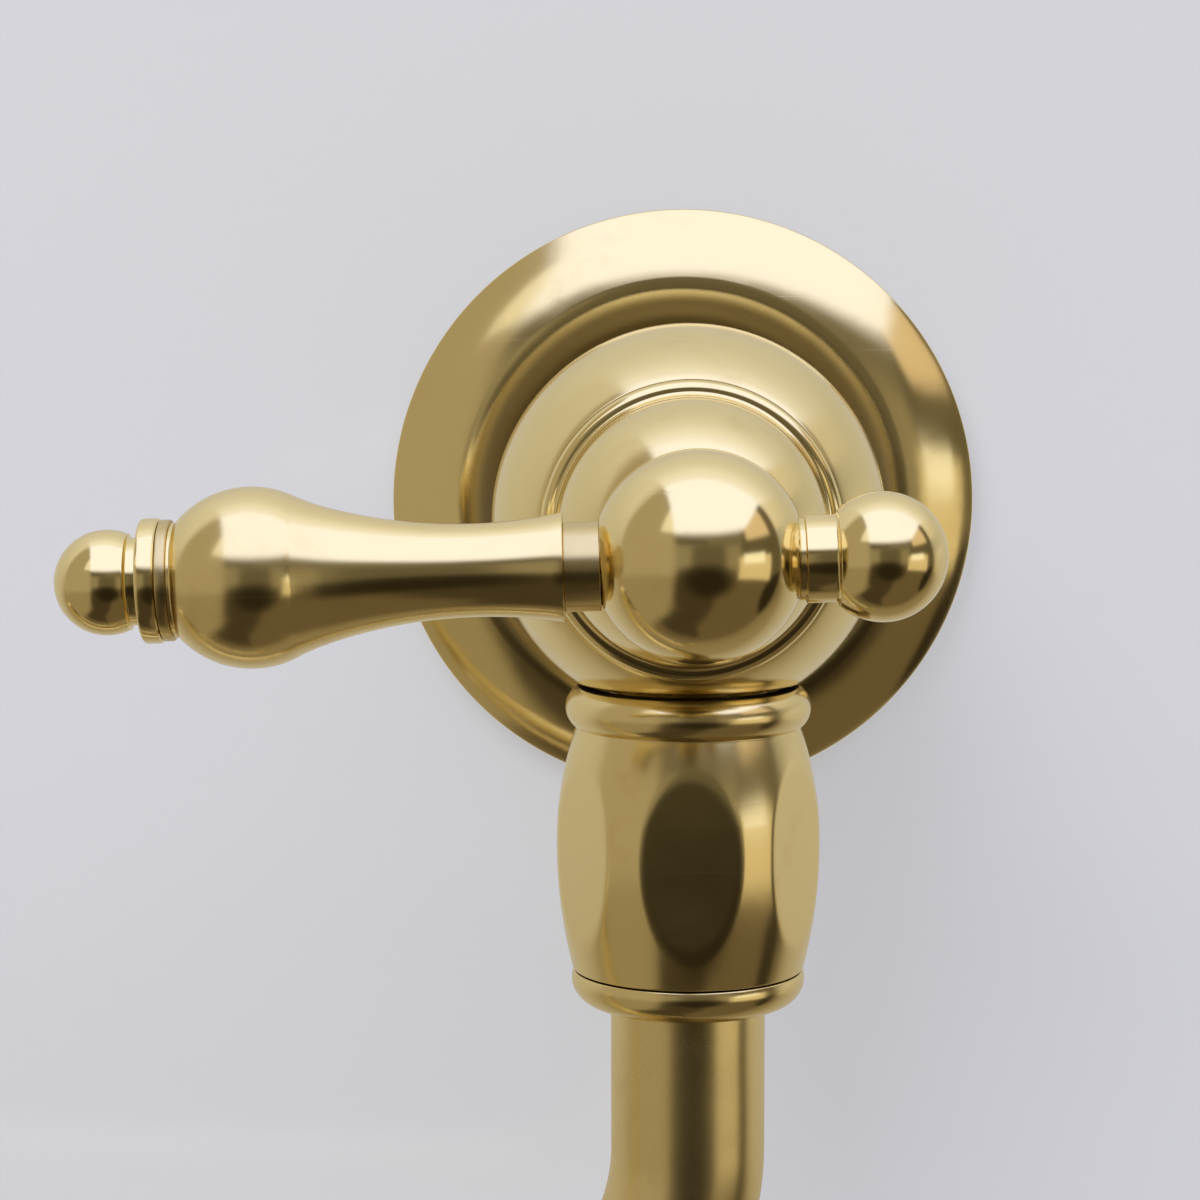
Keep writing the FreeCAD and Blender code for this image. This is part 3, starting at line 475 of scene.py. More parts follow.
# The rose against the wall: a moulding that falls away slowly outwards and steeply inwards, hollow behind
rose = {"radius": 32.5, "crest": 6.6, "crestRadius": 24.0, "innerRound": 4.7, "innerVia": 120,
        "outerRound": 17.0, "outerVia": 63, "turn": 13.5, "plate": 2.4, "wall": 1.7, "collar": 13.6,
        "collarHeight": 6.0, "bore": 11.05}


def makeRose():
    turn = math.radians(rose["turn"])
    middle = rose["crest"] - rose["innerRound"]
    spread = rose["innerRound"] - rose["outerRound"]
    outerAcross = rose["crestRadius"] + spread * math.sin(turn)
    outerAlong = middle + spread * math.cos(turn)

    def moulding(inner, outer, foot, rim):
        meet = (rose["crestRadius"] + inner * math.sin(turn), middle + inner * math.cos(turn))
        return [
            (rose["crestRadius"] - chord(inner, foot - middle), foot),
            onArc(rose["crestRadius"], middle, inner, rose["innerVia"]),
            meet,
            onArc(outerAcross, outerAlong, outer, rose["outerVia"]),
            (rim, outerAlong + chord(outer, rim - outerAcross)),
        ]

    hollow = moulding(rose["innerRound"] - rose["wall"], rose["outerRound"] - rose["wall"], middle,
                      rose["radius"] - rose["wall"])
    front = moulding(rose["innerRound"], rose["outerRound"], rose["plate"], rose["radius"])
    turnPiece("wall_flange", outOfWall, [
        (rose["bore"], 0),
        (hollow[0][0], 0),
        *hollow,
        (rose["radius"] - rose["wall"], 0),
        (rose["radius"], 0),
        *reversed(front),
        (rose["collar"], rose["plate"]),
        (rose["collar"], rose["collarHeight"]),
        (rose["bore"], rose["collarHeight"]),
        (rose["bore"], 0),
    ], "rose", sides=192, finest=2.0)


# The stem and its threaded tail behind the rose
tail = {"radius": 10.48, "length": 20.0, "bore": 7.0, "spigot": 8.95, "spigotLength": 8.0, "pitch": 1.814,
        "depth": 1.1, "flank": 27.5, "crest": 0.34, "sink": 0.3, "steps": 72}
stem = {"radius": 11.0, "socket": 9.0, "spigot": 9.45, "spigotLength": 5.0, "fit": 0.05}


def windTooth():  # one tooth of the pipe thread, wound past both ends of the tail and cut off there
    root = tail["radius"] - tail["depth"]
    half = tail["crest"] / 2
    foot = half + tail["depth"] * math.tan(math.radians(tail["flank"]))
    start = tail["pitch"]
    tooth = [(root - tail["sink"], start - foot), (root, start - foot), (tail["radius"], start - half),
             (tail["radius"], start + half), (root, start + foot), (root - tail["sink"], start + foot)]
    piece = drawOutline("thread", outOfWall, tooth + tooth[:1])
    bpy.ops.object.mode_set(mode="OBJECT")
    bpy.ops.object.modifier_add(type="SCREW")
    winding = piece.modifiers[-1]
    winding.axis = "Y"
    winding.screw_offset = tail["pitch"] * mm
    winding.iterations = math.ceil(tail["length"] / tail["pitch"]) + 2
    winding.steps = tail["steps"]
    bpy.ops.object.modifier_apply(modifier=winding.name)
    bpy.ops.object.mode_set(mode="EDIT")
    closeSkin()
    cutOff((((0, tail["length"] * mm, 0), (0, 1, 0)), ((0, 0, 0), (0, -1, 0))))
    smoothSkin(piece)
    return piece


def makeTail(stemEnd):
    root = tail["radius"] - tail["depth"]
    thread = windTooth()
    turnPiece("inlet_nipple", outOfWall, [
        (tail["bore"], -tail["length"]),
        (root, -tail["length"]),
        (root, 0),
        (tail["spigot"], 0),
        (tail["spigot"], tail["spigotLength"]),
        (tail["bore"], tail["spigotLength"]),
        (tail["bore"], -tail["length"]),
    ], "darkened", extra=thread)
    turnPiece("body_stem", outOfWall, [
        (stem["socket"], 0),
        (stem["radius"], 0),
        (stem["radius"], stemEnd),
        (stem["spigot"], stemEnd),
        (stem["spigot"], stemEnd + stem["spigotLength"]),
        (tail["bore"], stemEnd + stem["spigotLength"]),
        (tail["bore"], tail["spigotLength"]),
        (stem["socket"], tail["spigotLength"]),
        (stem["socket"], 0),
    ], "dull")


# The ball body, with the flat that the swivel nut hangs under
ball = {"radius": 20.15, "reach": 32.0, "chamber": 11.5, "chamberBack": 27.0, "seat": 45.6, "thread": 13.0,
        "threadLength": 2.0, "flat": 16.5}


def makeBall(stemEnd):
    flatPlace = Vector((0, 0, -ball["flat"] * mm))
    socket = stem["spigot"] + stem["fit"]
    socketEnd = stemEnd + stem["spigotLength"]
    # painted shade: the flat that the swivel nut hangs under takes the near-black gap finish
    turnPiece("valve_body", outOfWall, [
        (socket, stemEnd),
        (stem["radius"], stemEnd),
        via(ball["radius"], ball["reach"]),
        (chord(ball["radius"], ball["seat"] - ball["reach"]), ball["seat"]),
        (ball["thread"], ball["seat"]),
        (ball["thread"], ball["seat"] - ball["threadLength"]),
        (ball["chamber"], ball["seat"] - ball["threadLength"]),
        (ball["chamber"], ball["chamberBack"]),
        (tail["bore"], ball["chamberBack"]),
        (tail["bore"], socketEnd),
        (socket, socketEnd),
        (socket, stemEnd),
    ], "cast", sides=192, finest=2.5, flats=[(flatPlace, (0, 0, -1))], other=("dark", onFlat(flatPlace)))


# The bonnet: a beaded dome that closes the ball and carries the lever
dome = {"bore": 5.05, "thread": 12.95, "threadLength": 2.0, "root": 13.95, "bead": 14.75, "beadStart": 46.2,
        "beadWidth": 1.8, "foot": 13.3, "round": 14.9, "roundVia": 30, "fillet": 0.5, "neck": 6.2,
        "neckEnd": 64.0}


def makeBonnet():
    beadEnd = dome["beadStart"] + dome["beadWidth"]
    across = dome["foot"] - dome["round"]
    turnPiece("bonnet", outOfWall, [
        (dome["bore"], ball["seat"] - dome["threadLength"]),
        (dome["thread"], ball["seat"] - dome["threadLength"]),
        (dome["thread"], ball["seat"]),
        (dome["root"], ball["seat"]),
        (dome["root"], dome["beadStart"]),
        via(dome["bead"], (dome["beadStart"] + beadEnd) / 2),
        (dome["root"], beadEnd),
        (dome["foot"] + dome["fillet"], beadEnd),
        onQuarter(dome["foot"] + dome["fillet"], beadEnd + dome["fillet"], dome["fillet"], 3),
        (across + chord(dome["round"], dome["fillet"]), beadEnd + dome["fillet"]),
        onArc(across, beadEnd, dome["round"], dome["roundVia"]),
        (dome["neck"], beadEnd + chord(dome["round"], dome["neck"] - across)),
        (dome["neck"], dome["neckEnd"]),
        (dome["bore"], dome["neckEnd"]),
        (dome["bore"], ball["seat"] - dome["threadLength"]),
    ], "mirror", sides=192, finest=2.5)


stemEnd = ball["reach"] - chord(ball["radius"], stem["radius"])
makeRose()
makeTail(stemEnd)
makeBall(stemEnd)
makeBonnet()
print("wall side turned")

# The lever: hub ball, rod collar, turned grip, washer, ring, finial and the counter ball
lever = {"tilt": 1.86, "drop": 0.5, "seat": 8.7, "stud": 2.5, "bore": 2.55}
hub = {"radius": 9.55, "neck": 5.8, "neckStart": 64.6, "bore": 4.05, "boreEnd": 79.05}
rod = {"tip": 4.7, "collar": 3.95}
grip = {"start": 11.9, "startRadius": 4.85, "waist": 20.3, "waistRadius": 4.12, "flare": 33.6,
        "flareRadius": 6.3, "swell": 35.2, "swellRadius": 6.95, "crown": 39.3, "crownRadius": 8.02,
        "end": 45.9, "endRadius": 5.07, "lip": 0.4}
band = {"washer": 0.95, "washerRadius": 5.36, "washerEdge": 0.15, "ring": 1.75, "ringRadius": 5.52,
        "ringEdge": 0.35}
finial = {"neck": 3.87, "neckLength": 1.0, "radius": 4.66, "middle": 52.13, "cove": 0.35}
counter = {"tip": 4.1, "step": 3.6, "stepEnd": 9.3, "neck": 3.87, "radius": 5.77, "middle": 16.1, "cove": 0.4}


def ballEnd(foot, shape, footStart):
    reach = shape["neck"] + shape["cove"]
    coveEnd = shape["middle"] - chord(shape["radius"], reach)
    return [(0, footStart)] + foot + [
        (shape["neck"], coveEnd - shape["cove"]),
        onQuarter(reach, coveEnd - shape["cove"], shape["cove"], 2),
        (reach, coveEnd),
        via(shape["radius"], shape["middle"]),
        (0, shape["middle"] + shape["radius"]),
    ]


def makeLever():
    tilt = math.radians(lever["tilt"])
    tipwards = Vector((-math.cos(tilt), 0, -math.sin(tilt)))
    base = joints["lever_turn"] + Vector((0, 0, -lever["drop"] * mm))
    reach = -joints["lever_turn"].y / mm
    alongLever = Seat(base, tipwards, (0, -1, 0))
    alongCounter = Seat(base, -tipwards, (0, -1, 0))
    turnPiece("hub_ball", outOfWall, [
        (hub["bore"], hub["neckStart"]),
        (hub["neck"], hub["neckStart"]),
        (hub["neck"], reach - chord(hub["radius"], hub["neck"])),
        via(hub["radius"], reach),
        (0, reach + hub["radius"]),
        (0, hub["boreEnd"]),
        (hub["bore"], hub["boreEnd"]),
        (hub["bore"], hub["neckStart"]),
    ], "mirror", sides=192, finest=2.5, flats=[(base + side * (lever["seat"] * mm), side)
                                               for side in (tipwards, -tipwards)])
    washerStart = grip["end"] + grip["lip"]
    ringStart = washerStart + band["washer"]
    ringEnd = ringStart + band["ring"]
    rodEnd = ringEnd + finial["neckLength"]
    turnPiece("lever_rod", alongLever, [
        (0, rod["tip"]),
        (lever["stud"], rod["tip"]),
        (lever["stud"], lever["seat"]),
        (rod["collar"], lever["seat"]),
        (rod["collar"], grip["start"]),
        (lever["stud"], grip["start"]),
        (lever["stud"], rodEnd),
        (0, rodEnd),
    ], "darkened")
    turnPiece("lever_grip", alongLever, [
        (lever["bore"], grip["start"]),
        (grip["startRadius"], grip["start"]),
        via(grip["waistRadius"], grip["waist"]),
        (grip["flareRadius"], grip["flare"]),
        (grip["swellRadius"], grip["swell"]),
        via(grip["crownRadius"], grip["crown"]),
        (grip["endRadius"], grip["end"]),
        (grip["endRadius"], washerStart),
        (lever["bore"], washerStart),
        (lever["bore"], grip["start"]),
    ], "grip", sides=160, finest=1.5)
    for node, radius, start, end, finish, soften in (
            ("grip_washer", band["washerRadius"], washerStart, ringStart, "darkened", band["washerEdge"]),
            ("grip_ring", band["ringRadius"], ringStart, ringEnd, "mirror", band["ringEdge"])):
        turnPiece(node, alongLever, [
            (lever["bore"], start),
            (radius, start),
            (radius, end),
            (lever["bore"], end),
            (lever["bore"], start),
        ], finish, soften)
    turnPiece("end_finial", alongLever, ballEnd([
        (lever["bore"], rodEnd),
        (lever["bore"], ringEnd),
        (finial["neck"], ringEnd),
    ], finial, rodEnd), "mirror", finest=3.0)
    turnPiece("counter_screw", alongCounter, ballEnd([
        (lever["stud"], counter["tip"]),
        (lever["stud"], lever["seat"]),
        (counter["step"], lever["seat"]),
        (counter["step"], counter["stepEnd"]),
        (counter["neck"], counter["stepEnd"]),
    ], counter, counter["tip"]), "mirror", finest=3.0)


makeLever()
print("lever turned")

# The two swivel joints: barrel nut with six spanner flats, and the end ring under it
nut = {"top": 17.0, "thread": 9.95, "mouth": 11.4, "bead": 12.65, "beadWidth": 4.2, "neck": 11.6,
       "shoulder": 13.42, "shoulderMiddle": 25.8, "shoulderEnd": 29.6, "barrel": 13.58, "barrelMiddle": 33.6,
       "foot": 11.93, "footEnd": 46.4, "bore": 9.6, "threadEnd": 31.5, "flat": 12.7, "flatStart": 22.4,
       "flatEnd": 42.5, "flatCount": 6, "flatEdge": 0.2, "flatTaper": 0.6}
endRing = {"gap": 0.16, "radius": 12.05, "height": 3.6, "bore": 8.05, "neck": 9.55, "gland": 36.55,
           "sideIn": 0.32, "sideEnd": 1.44, "turnIn": 1.26, "turnUp": 0.45, "footIn": 2.52}


def softLimit(value, limit, soft):
    overlap = max(soft - abs(value - limit), 0) / soft
    return min(value, limit) - overlap ** 2 * soft / 4


def makeNut(node, seat):
    beadEnd = nut["top"] + nut["beadWidth"]
    turns = [math.tau * count / nut["flatCount"] for count in range(nut["flatCount"])]
    faces = [Vector((math.sin(turn), -math.cos(turn), 0)) for turn in turns]
    taper = math.tan(math.radians(nut["flatTaper"]))

    def pressFlats(place):
        length = (place - seat.origin).dot(seat.along) / mm
        if length < nut["flatStart"]:
            return place
        limit = nut["flat"] + (length - nut["flatEnd"]) * taper
        for outwards in faces:
            reach = (place - seat.origin).dot(outwards) / mm
            place = place + outwards * ((softLimit(reach, limit, nut["flatEdge"]) - reach) * mm)
        return place

    # painted shade: the nut's level faces, in the gaps above and below it, take the near-black gap finish
    turnPiece(node, seat, [
        (nut["thread"], nut["top"]),
        (nut["mouth"], nut["top"]),
        via(nut["bead"], nut["top"] + nut["beadWidth"] / 2),
        (nut["neck"], beadEnd),
        via((nut["neck"] + nut["shoulder"] * 2) / 3, nut["shoulderMiddle"]),
        (nut["shoulder"], nut["shoulderEnd"]),
        via(nut["barrel"], nut["barrelMiddle"]),
        (nut["foot"], nut["footEnd"]),
        (nut["bore"], nut["footEnd"]),
        (nut["bore"], nut["threadEnd"]),
        (nut["thread"], nut["threadEnd"]),
        (nut["thread"], nut["top"]),
    ], "nut", sides=324, finest=2.0, longest=0.26, press=pressFlats,
        other=("dark", lambda face: abs(face.normal.z) > uprightNormal))


def makeEndRing(node, seat):
    top = nut["footEnd"] + endRing["gap"]
    foot = top + endRing["height"]
    # painted shade: the ring's upward faces, in the thin gap under the nut, take the near-black gap finish
    turnPiece(node, seat, [
        (endRing["bore"], endRing["gland"]),
        (endRing["neck"], endRing["gland"]),
        (endRing["neck"], top),
        (endRing["radius"] - endRing["gap"], top),
        via(endRing["radius"], top + endRing["height"] / 3),
        (endRing["radius"] - endRing["sideIn"], foot - endRing["sideEnd"]),
        via(endRing["radius"] - endRing["turnIn"], foot - endRing["turnUp"]),
        (endRing["radius"] - endRing["footIn"], foot),
        (endRing["bore"], foot),
        (endRing["bore"], endRing["gland"]),
    ], "nut", sides=160, finest=3.0, other=("dark", lambda face: face.normal.z > uprightNormal))


swivelSeat = Seat((0, -ball["reach"] * mm, 0), (0, 0, -1), (0, -1, 0))
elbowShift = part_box("elbow_nut")[1].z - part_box("swivel_nut")[1].z
elbowOrigin = Vector((joints["elbow_swing"].x, joints["elbow_swing"].y, elbowShift))
elbowSeat = Seat(elbowOrigin, (0, 0, -1), (0, -1, 0))
for prefix, seat in (("swivel", swivelSeat), ("elbow", elbowSeat)):
    makeNut(prefix + "_nut", seat)
    makeEndRing(prefix + "_end_ring", seat)
print("swivel nuts turned")

# The drawn tubes: a ring of points carried along straight runs and round bends
tube = {"radius": 8.0, "wall": 1.0, "bend": 26.0, "bendStart": 65.5, "inside": 36.0, "sides": 96,
        "bendSteps": 48, "runStep": 12.0, "smooth": 30, "fit": 0.05}


def drawTube(node, seat, heading, runs):
    bpy.ops.object.select_all(action="DESELECT")
    start = seat.origin + seat.along * (tube["inside"] * mm)
    bpy.ops.mesh.primitive_circle_add(vertices=tube["sides"], radius=tube["radius"] * mm, location=start)
    bpy.ops.object.transform_apply(location=True, rotation=True, scale=True)
    piece = bpy.context.object
    piece.name = "polished_" + node
    bpy.ops.object.mode_set(mode="EDIT")
    bpy.ops.mesh.select_all(action="SELECT")
    turn = math.radians(heading)
    level = Vector((math.cos(turn), math.sin(turn), 0))
    place, along = start, Vector((0, 0, -1))
    travel = [0.0]
    for length, nextAlong in runs:
        steps = max(1, round(length / tube["runStep"]))
        for count in range(steps):
            bpy.ops.mesh.extrude_edges_move(TRANSFORM_OT_translate={"value": along * (length * mm / steps)})
            travel.append(travel[-1] + length * mm / steps)
        place = place + along * (length * mm)
        if nextAlong:
            towards = level if nextAlong == "level" else Vector((0, 0, -1))
            centre = place + towards * (tube["bend"] * mm)
            bpy.ops.mesh.spin(steps=tube["bendSteps"], angle=math.pi / 2, center=centre,
                              axis=towards.cross(along))
            bendStep = math.pi / 2 * tube["bend"] * mm / tube["bendSteps"]
            travel += [travel[-1] + bendStep * (count + 1) for count in range(tube["bendSteps"])]
            place = centre + along * (tube["bend"] * mm)
            along = towards
    bpy.ops.mesh.select_all(action="SELECT")
    bpy.ops.mesh.normals_make_consistent(inside=False)
    bpy.ops.object.mode_set(mode="OBJECT")
    grain = piece.data.attributes.new("grain", "FLOAT_VECTOR", "POINT")
    for index, value in enumerate(grain.data):
        angle = math.tau * (index % tube["sides"]) / tube["sides"]
        run = travel[min(index // tube["sides"], len(travel) - 1)]
        value.vector = (tube["radius"] * mm * math.cos(angle), tube["radius"] * mm * math.sin(angle), run)
    bpy.ops.object.modifier_add(type="SOLIDIFY")
    piece.modifiers[-1].thickness = tube["wall"] * mm
    piece.modifiers[-1].offset = -1.0
    bpy.ops.object.modifier_apply(modifier=piece.modifiers[-1].name)
    bpy.ops.object.shade_smooth_by_angle(angle=math.radians(tube["smooth"]))
    finishPiece(piece, node, "tube")


# The first arm with its ball elbow, and the second arm with its spout
arm = {"length": 200.0, "heading": 186.0, "elbowRadius": 16.0, "elbowFlat": 11.3, "elbowSocket": 3.0,
       "elbowBore": 5.5, "elbowBoreEnd": 7.0}
spoutArm = {"length": 180.0, "heading": 6.0, "drop": 18.0}
nozzle = {"grip": 8.0, "length": 17.0, "radius": 11.0, "bead": 11.6, "beadWidth": 3.6, "thread": 9.6,
          "step": 1.0}
aerator = {"washer": 0.95, "rim": 3.0, "bore": 7.5, "gap": 0.16, "fit": 0.05}


def makeFirstArm():
    socketEnd = arm["length"] - chord(arm["elbowRadius"], tube["radius"]) + arm["elbowSocket"]
    drawTube("first_tube", swivelSeat, arm["heading"], [
        (tube["bendStart"] - tube["inside"], "level"),
        (socketEnd - tube["bend"], None),
    ])
    turn = math.radians(arm["heading"])
    along = Vector((math.cos(turn), math.sin(turn), 0))
    centre = swivelSeat.origin + along * (arm["length"] * mm)
    centre.z = -(tube["bendStart"] + tube["bend"]) * mm
    socket = tube["radius"] + tube["fit"]
    mouth = chord(arm["elbowRadius"], socket)
    depth = mouth - arm["elbowSocket"]
    flatPlace = centre - Vector((0, 0, arm["elbowFlat"] * mm))
    # painted shade: the flat under the elbow ball, over the elbow nut's gap, takes the near-black gap finish
    turnPiece("elbow_ball", Seat(centre, along, (0, 0, 1)), [
        (socket, -mouth),
        via(arm["elbowRadius"], 0),
        (0, arm["elbowRadius"]),
        (0, arm["elbowBoreEnd"]),
        (arm["elbowBore"], arm["elbowBoreEnd"]),
        (arm["elbowBore"], -depth),
        (socket, -depth),
        (socket, -mouth),
    ], "cast", sides=160, finest=3.0, flats=[(flatPlace, (0, 0, -1))], other=("dark", onFlat(flatPlace)))


def makeSecondArm():
    drawTube("second_tube", elbowSeat, spoutArm["heading"], [
        (tube["bendStart"] - tube["inside"], "level"),
        (spoutArm["length"] - 2 * tube["bend"], "down"),
        (spoutArm["drop"], None),
    ])
    turn = math.radians(spoutArm["heading"])
    tip = elbowSeat.origin + Vector((math.cos(turn), math.sin(turn), 0)) * (spoutArm["length"] * mm)
    tip.z -= (tube["bendStart"] + 2 * tube["bend"] + spoutArm["drop"]) * mm
    seat = Seat(tip, (0, 0, -1), (0, -1, 0))
    sleeve = tube["radius"] + tube["fit"]
    rim = nozzle["radius"] - nozzle["step"]
    end = nozzle["length"] - nozzle["grip"]
    turnPiece("spout_nozzle", seat, [
        (sleeve, -nozzle["grip"]),
        (rim, -nozzle["grip"]),
        via(nozzle["bead"], nozzle["beadWidth"] / 2 - nozzle["grip"]),
        (rim, nozzle["beadWidth"] - nozzle["grip"]),
        via(nozzle["radius"] - nozzle["step"] / 4, nozzle["beadWidth"]),
        (nozzle["radius"], end),
        (nozzle["thread"], end),
        (nozzle["thread"], 0),
        (sleeve, 0),
        (sleeve, -nozzle["grip"]),
    ], "cast")
    male = nozzle["thread"] - aerator["fit"]
    start = end + aerator["gap"]
    foot = start + aerator["rim"]
    turnPiece("aerator_housing", seat, [
        (aerator["bore"], aerator["washer"]),
        (male, aerator["washer"]),
        (male, start),
        (nozzle["radius"], start),
        (nozzle["radius"], foot - nozzle["step"]),
        onQuarter(nozzle["radius"] - nozzle["step"], foot - nozzle["step"], nozzle["step"], 1),
        (nozzle["radius"] - nozzle["step"], foot),
        (aerator["bore"], foot),
        (aerator["bore"], aerator["washer"]),
    ], "mirror")


makeFirstArm()
makeSecondArm()
print("arms drawn")

# The pieces that stay as they are get their finish
for node, solid in frame["nodes"].items():
    if solid.hide_render:
        continue
    slot = slots[node]
    finish = finishes["cast" if slot == "polished_brass" else slot]
    solid.data.materials.clear()
    solid.data.materials.append(finish)
print("inner pieces finished")

# Wall and floor, pale to the camera. In the metal the wall glows with painted light and shade by height:
# darker and warmer low down, paler high up
wall = {"size": 2.4, "gap": 0.0003, "colour": (0.715, 0.72, 0.74, 1.0), "lift": 0.55, "polish": 0.14,
        "mirrored": True, "from": -0.15, "to": 0.25,
        "paintedShadeByHeight": [(0.0, (0.33, 0.27, 0.17)), (0.27, (0.57, 0.535, 0.46)), (0.5, (0.66, 0.64, 0.59)),
                  (1.0, (0.92, 0.91, 0.92))]}
floor = {"size": 2.4, "level": -0.45, "colour": (0.71, 0.70, 0.63, 1.0), "lift": 0.3, "polish": 0.5,
         "mirrored": False}


def stageMaterial(name, panel):
    material, graph = newMaterial(name)
    inView = graph.add("ShaderNodeLightPath", {}, {}, "Is Camera Ray")
    mirrored = graph.add("ShaderNodeLightPath", {}, {}, "Is Glossy Ray")
    mirrored = graph.add("ShaderNodeLightPath", {}, {}, "Is Transmission Ray") + mirrored
    colour = panel["colour"]
    # painted light and shade: for glossy rays the wall glows with a colour ramp by height, darker towards the
    # bottom
    if panel["mirrored"]:
        place = graph.add("ShaderNodeNewGeometry", {}, {}, "Position")
        height = graph.add("ShaderNodeSeparateXYZ", {}, {"Vector": place}, "Z")
        share = (height - panel["from"]) * (1 / (panel["to"] - panel["from"]))
        tone = graph.add("ShaderNodeValToRGB", {"stops": panel["paintedShadeByHeight"]}, {0: share})
        colour = graph.blend(mirrored, colour, tone)
    matt = graph.add("ShaderNodeBsdfDiffuse", {}, {"Color": panel["colour"]})
    glow = graph.add("ShaderNodeEmission", {}, {"Color": colour})
    lifted = graph.add("ShaderNodeMixShader", {}, {0: inView * panel["lift"] + mirrored, 1: matt, 2: glow})
    sheen = graph.add("ShaderNodeFresnel", {}, {"IOR": 1.5})
    gloss = graph.add("ShaderNodeBsdfGlossy", {}, {"Color": (1.0, 1.0, 1.0, 1.0),
                                                   "Roughness": panel["polish"]})
    polished = graph.add("ShaderNodeMixShader", {}, {0: sheen, 1: lifted, 2: gloss})
    behind = graph.add("ShaderNodeNewGeometry", {}, {}, "Backfacing")
    clear = graph.add("ShaderNodeBsdfTransparent")
    shown = graph.add("ShaderNodeMixShader", {}, {0: behind, 1: polished, 2: clear})
    graph.add("ShaderNodeOutputMaterial", {}, {"Surface": shown})
    return material


def makeStage():
    for name, panelOf, place, turn in (
            ("back_wall", wall, (0, wall["gap"], 0), (math.pi / 2, 0, 0)),
            ("pale_floor", floor, (0, -floor["size"] / 2, floor["level"]), (0, 0, 0))):
        bpy.ops.object.select_all(action="DESELECT")
        bpy.ops.mesh.primitive_plane_add(size=panelOf["size"], location=place, rotation=turn)
        panel = bpy.context.object
        panel.name = name
        panel.data.materials.append(stageMaterial(name, panelOf))
        panel.visible_glossy = panelOf["mirrored"]


# The room that the metal mirrors. Its patches lie by direction: turn in degrees from straight out of the wall
# towards the right, or across from -1 at the left to 1 at the right, and rise in degrees upwards
room = {
    "floor": (0.145, 0.112, 0.066, 1.0),
    "farWall": (0.19, 0.165, 0.115, 1.0),
    "farLeft": (0.30, 0.265, 0.19, 1.0),
    "farRight": (0.29, 0.25, 0.17, 1.0),
    "front": (0.135, 0.117, 0.078, 1.0),
    "line": (0.12, 0.10, 0.065, 1.0),
    "dusk": (0.062, 0.048, 0.028, 1.0),
    "dark": (0.024, 0.0175, 0.009, 1.0),
    "leftWall": (0.43, 0.375, 0.275, 1.0),
    "leftLow": (0.33, 0.28, 0.185, 1.0),
    "rightWall": (0.125, 0.105, 0.065, 1.0),
    "leftLight": (0.98, 0.94, 0.92, 1.0),
    "shutter": (0.80, 0.65, 0.50, 1.0),
    "pane": (1.15, 1.12, 1.10, 1.0),
    "shelf": (0.78, 0.66, 0.45, 1.0),
    "ceiling": (1.22, 1.29, 1.85, 1.0),
    "seen": (0.90, 0.90, 0.90, 1.0),
}
patches = [  # colour, shape, from and to sideways, from and to in rise, and how soft the edges are in degrees
    ("farWall", "turn", (-200, 200), (-12, 100), 10),
    ("farLeft", "turn", (-45, -8), (-7, 17), 12),
    ("farRight", "turn", (26, 46), (-7, 15), 10),
    ("front", "turn", (-8, 26), (-14, 17), 12),
    ("line", "turn", (-32, 8), (18.5, 23.5), 4),
    ("dusk", "oval", (-84, -6), (-98, -50), 16),
    ("dusk", "oval", (-34, 18), (-72, -6), 30),
    ("dark", "oval", (-16, 36), (-38, -4), 26),
    ("leftLow", "across", (-2.0, -0.455), (-56, 20), 10),
    ("leftWall", "across", (-2.0, -0.455), (-14, 100), 9),
    ("rightWall", "across", (0.68, 2.0), (-18, 100), 5),
    ("dark", "oval", (76, 110), (-44, -11), 10),
    ("shutter", "turn", (52, 84), (19, 40), 5),
    ("shelf", "turn", (41, 80), (-17.5, 4), 4),
    ("pane", "turn", (46, 72), (-2.5, 6.5), 4),
    ("leftLight", "turn", (-48, -20), (29, 56), 4),
]
ceilingEdges = [  # planes round the ceiling: across, into the wall, up and offset, and how soft the edge is
    ((1.0, 0.0, 0.0, 0.455), 0.03),
    ((-0.365, -0.098, 0.418, 0.0), 0.02),
    ((0.0, 0.0, 1.0, -0.48), 0.075),
]


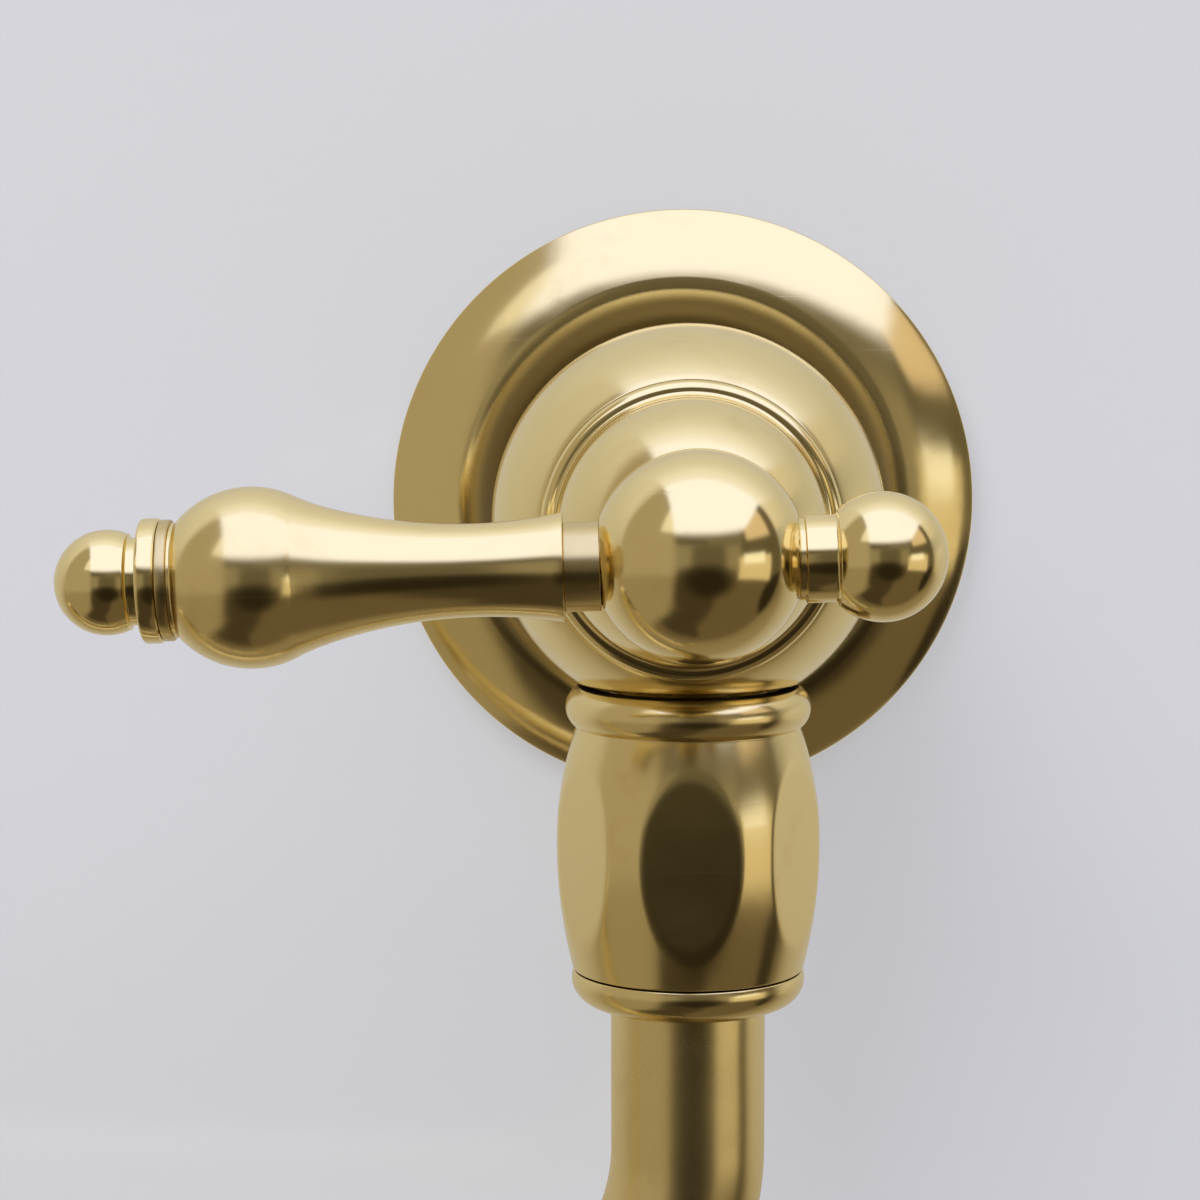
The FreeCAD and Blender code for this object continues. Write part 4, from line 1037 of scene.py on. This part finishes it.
def lightRoom():
    world = bpy.data.worlds.new("room")
    bpy.context.scene.world = world
    world.use_nodes = True
    graph = Graph(world.node_tree)
    direction = graph.add("ShaderNodeTexCoord", {}, {}, "Generated")
    x, y, z = (graph.add("ShaderNodeSeparateXYZ", {}, {"Vector": direction}, axis) for axis in "XYZ")
    degrees = 180 / math.pi
    rise = graph.add("ShaderNodeMath", {"operation": "ARCSINE"}, {0: z}) * degrees
    turn = graph.add("ShaderNodeMath", {"operation": "ARCTAN2"}, {0: x, 1: 0 - y}) * degrees
    sideways = {"turn": (turn, 1.0), "oval": (turn, 1.0), "across": (x, 1 / degrees)}

    def between(value, limits, soft):
        low, high = limits
        rising = graph.ramp(value, low - soft / 2, low + soft / 2)
        return rising * graph.ramp(value, high + soft / 2, high - soft / 2)

    def fromMiddle(value, limits):
        offset = (value - sum(limits) / 2) * (2 / (limits[1] - limits[0]))
        return offset * offset

    colour = room["floor"]
    for name, shape, limits, rises, soft in patches:
        value, unit = sideways[shape]
        if shape == "oval":
            edge = soft / (rises[1] - rises[0])
            share = graph.ramp(fromMiddle(value, limits) + fromMiddle(rise, rises), 1 + edge, 1 - edge)
        else:
            share = between(value, limits, soft * unit) * between(rise, rises, soft)
        colour = graph.blend(share, colour, room[name])
    ceiling = 1.0
    for (across, into, up, offset), soft in ceilingEdges:
        inside = x * across + y * into + z * up + offset
        ceiling = graph.ramp(inside, -soft, soft) * ceiling
    colour = graph.blend(ceiling, colour, room["ceiling"])
    seen = graph.add("ShaderNodeLightPath", {}, {}, "Is Camera Ray")
    colour = graph.blend(seen, colour, room["seen"])
    light = graph.add("ShaderNodeBackground", {}, {"Color": colour, "Strength": 1.0})
    graph.add("ShaderNodeOutputWorld", {}, {"Surface": light})


lamp = {"place": (-0.45, -0.75, 0.75), "aim": (0, -0.04, -0.02), "size": 0.6, "power": 6.0,
        "colour": (1.0, 0.98, 0.95)}


def hangLamp():
    aim = Vector(lamp["aim"]) - Vector(lamp["place"])
    bpy.ops.object.light_add(type="AREA", location=lamp["place"],
                             rotation=aim.to_track_quat("-Z", "Y").to_euler())
    light = bpy.context.object
    light.name = "soft_lamp"
    light.data.size = lamp["size"]
    light.data.energy = lamp["power"]
    light.data.color = lamp["colour"]
    light.visible_glossy = False


# The camera stands where the photograph was taken, with a focal length in pixels of its frame
camera = {"place": (-6.707, -338.066, 22.529), "pitch": 5.731, "yaw": -0.443, "roll": -0.099,
          "pixels": 2994.45, "image": 1200, "sensor": 36.0, "nearest": 10.0}


def setCamera():
    pitch, yaw, roll = (math.radians(camera[angle]) for angle in ("pitch", "yaw", "roll"))
    ahead = Vector((math.sin(yaw) * math.cos(pitch), math.cos(yaw) * math.cos(pitch), -math.sin(pitch)))
    right = Vector((math.cos(yaw), -math.sin(yaw), 0))
    up = right.cross(ahead)
    across = right * math.cos(roll) + up * math.sin(roll)
    upright = up * math.cos(roll) - right * math.sin(roll)
    bpy.ops.object.camera_add(location=Vector(camera["place"]) * mm)
    eye = bpy.context.object
    eye.name = "photo_camera"
    eye.rotation_euler = Matrix((across, upright, -ahead)).transposed().to_euler()
    eye.data.sensor_width = camera["sensor"]
    eye.data.lens = camera["pixels"] / camera["image"] * camera["sensor"]
    eye.data.clip_start = camera["nearest"] * mm
    bpy.context.scene.camera = eye


makeStage()
lightRoom()
hangLamp()
setCamera()
bpy.context.scene.view_settings.view_transform = "Standard"
print("stage set")
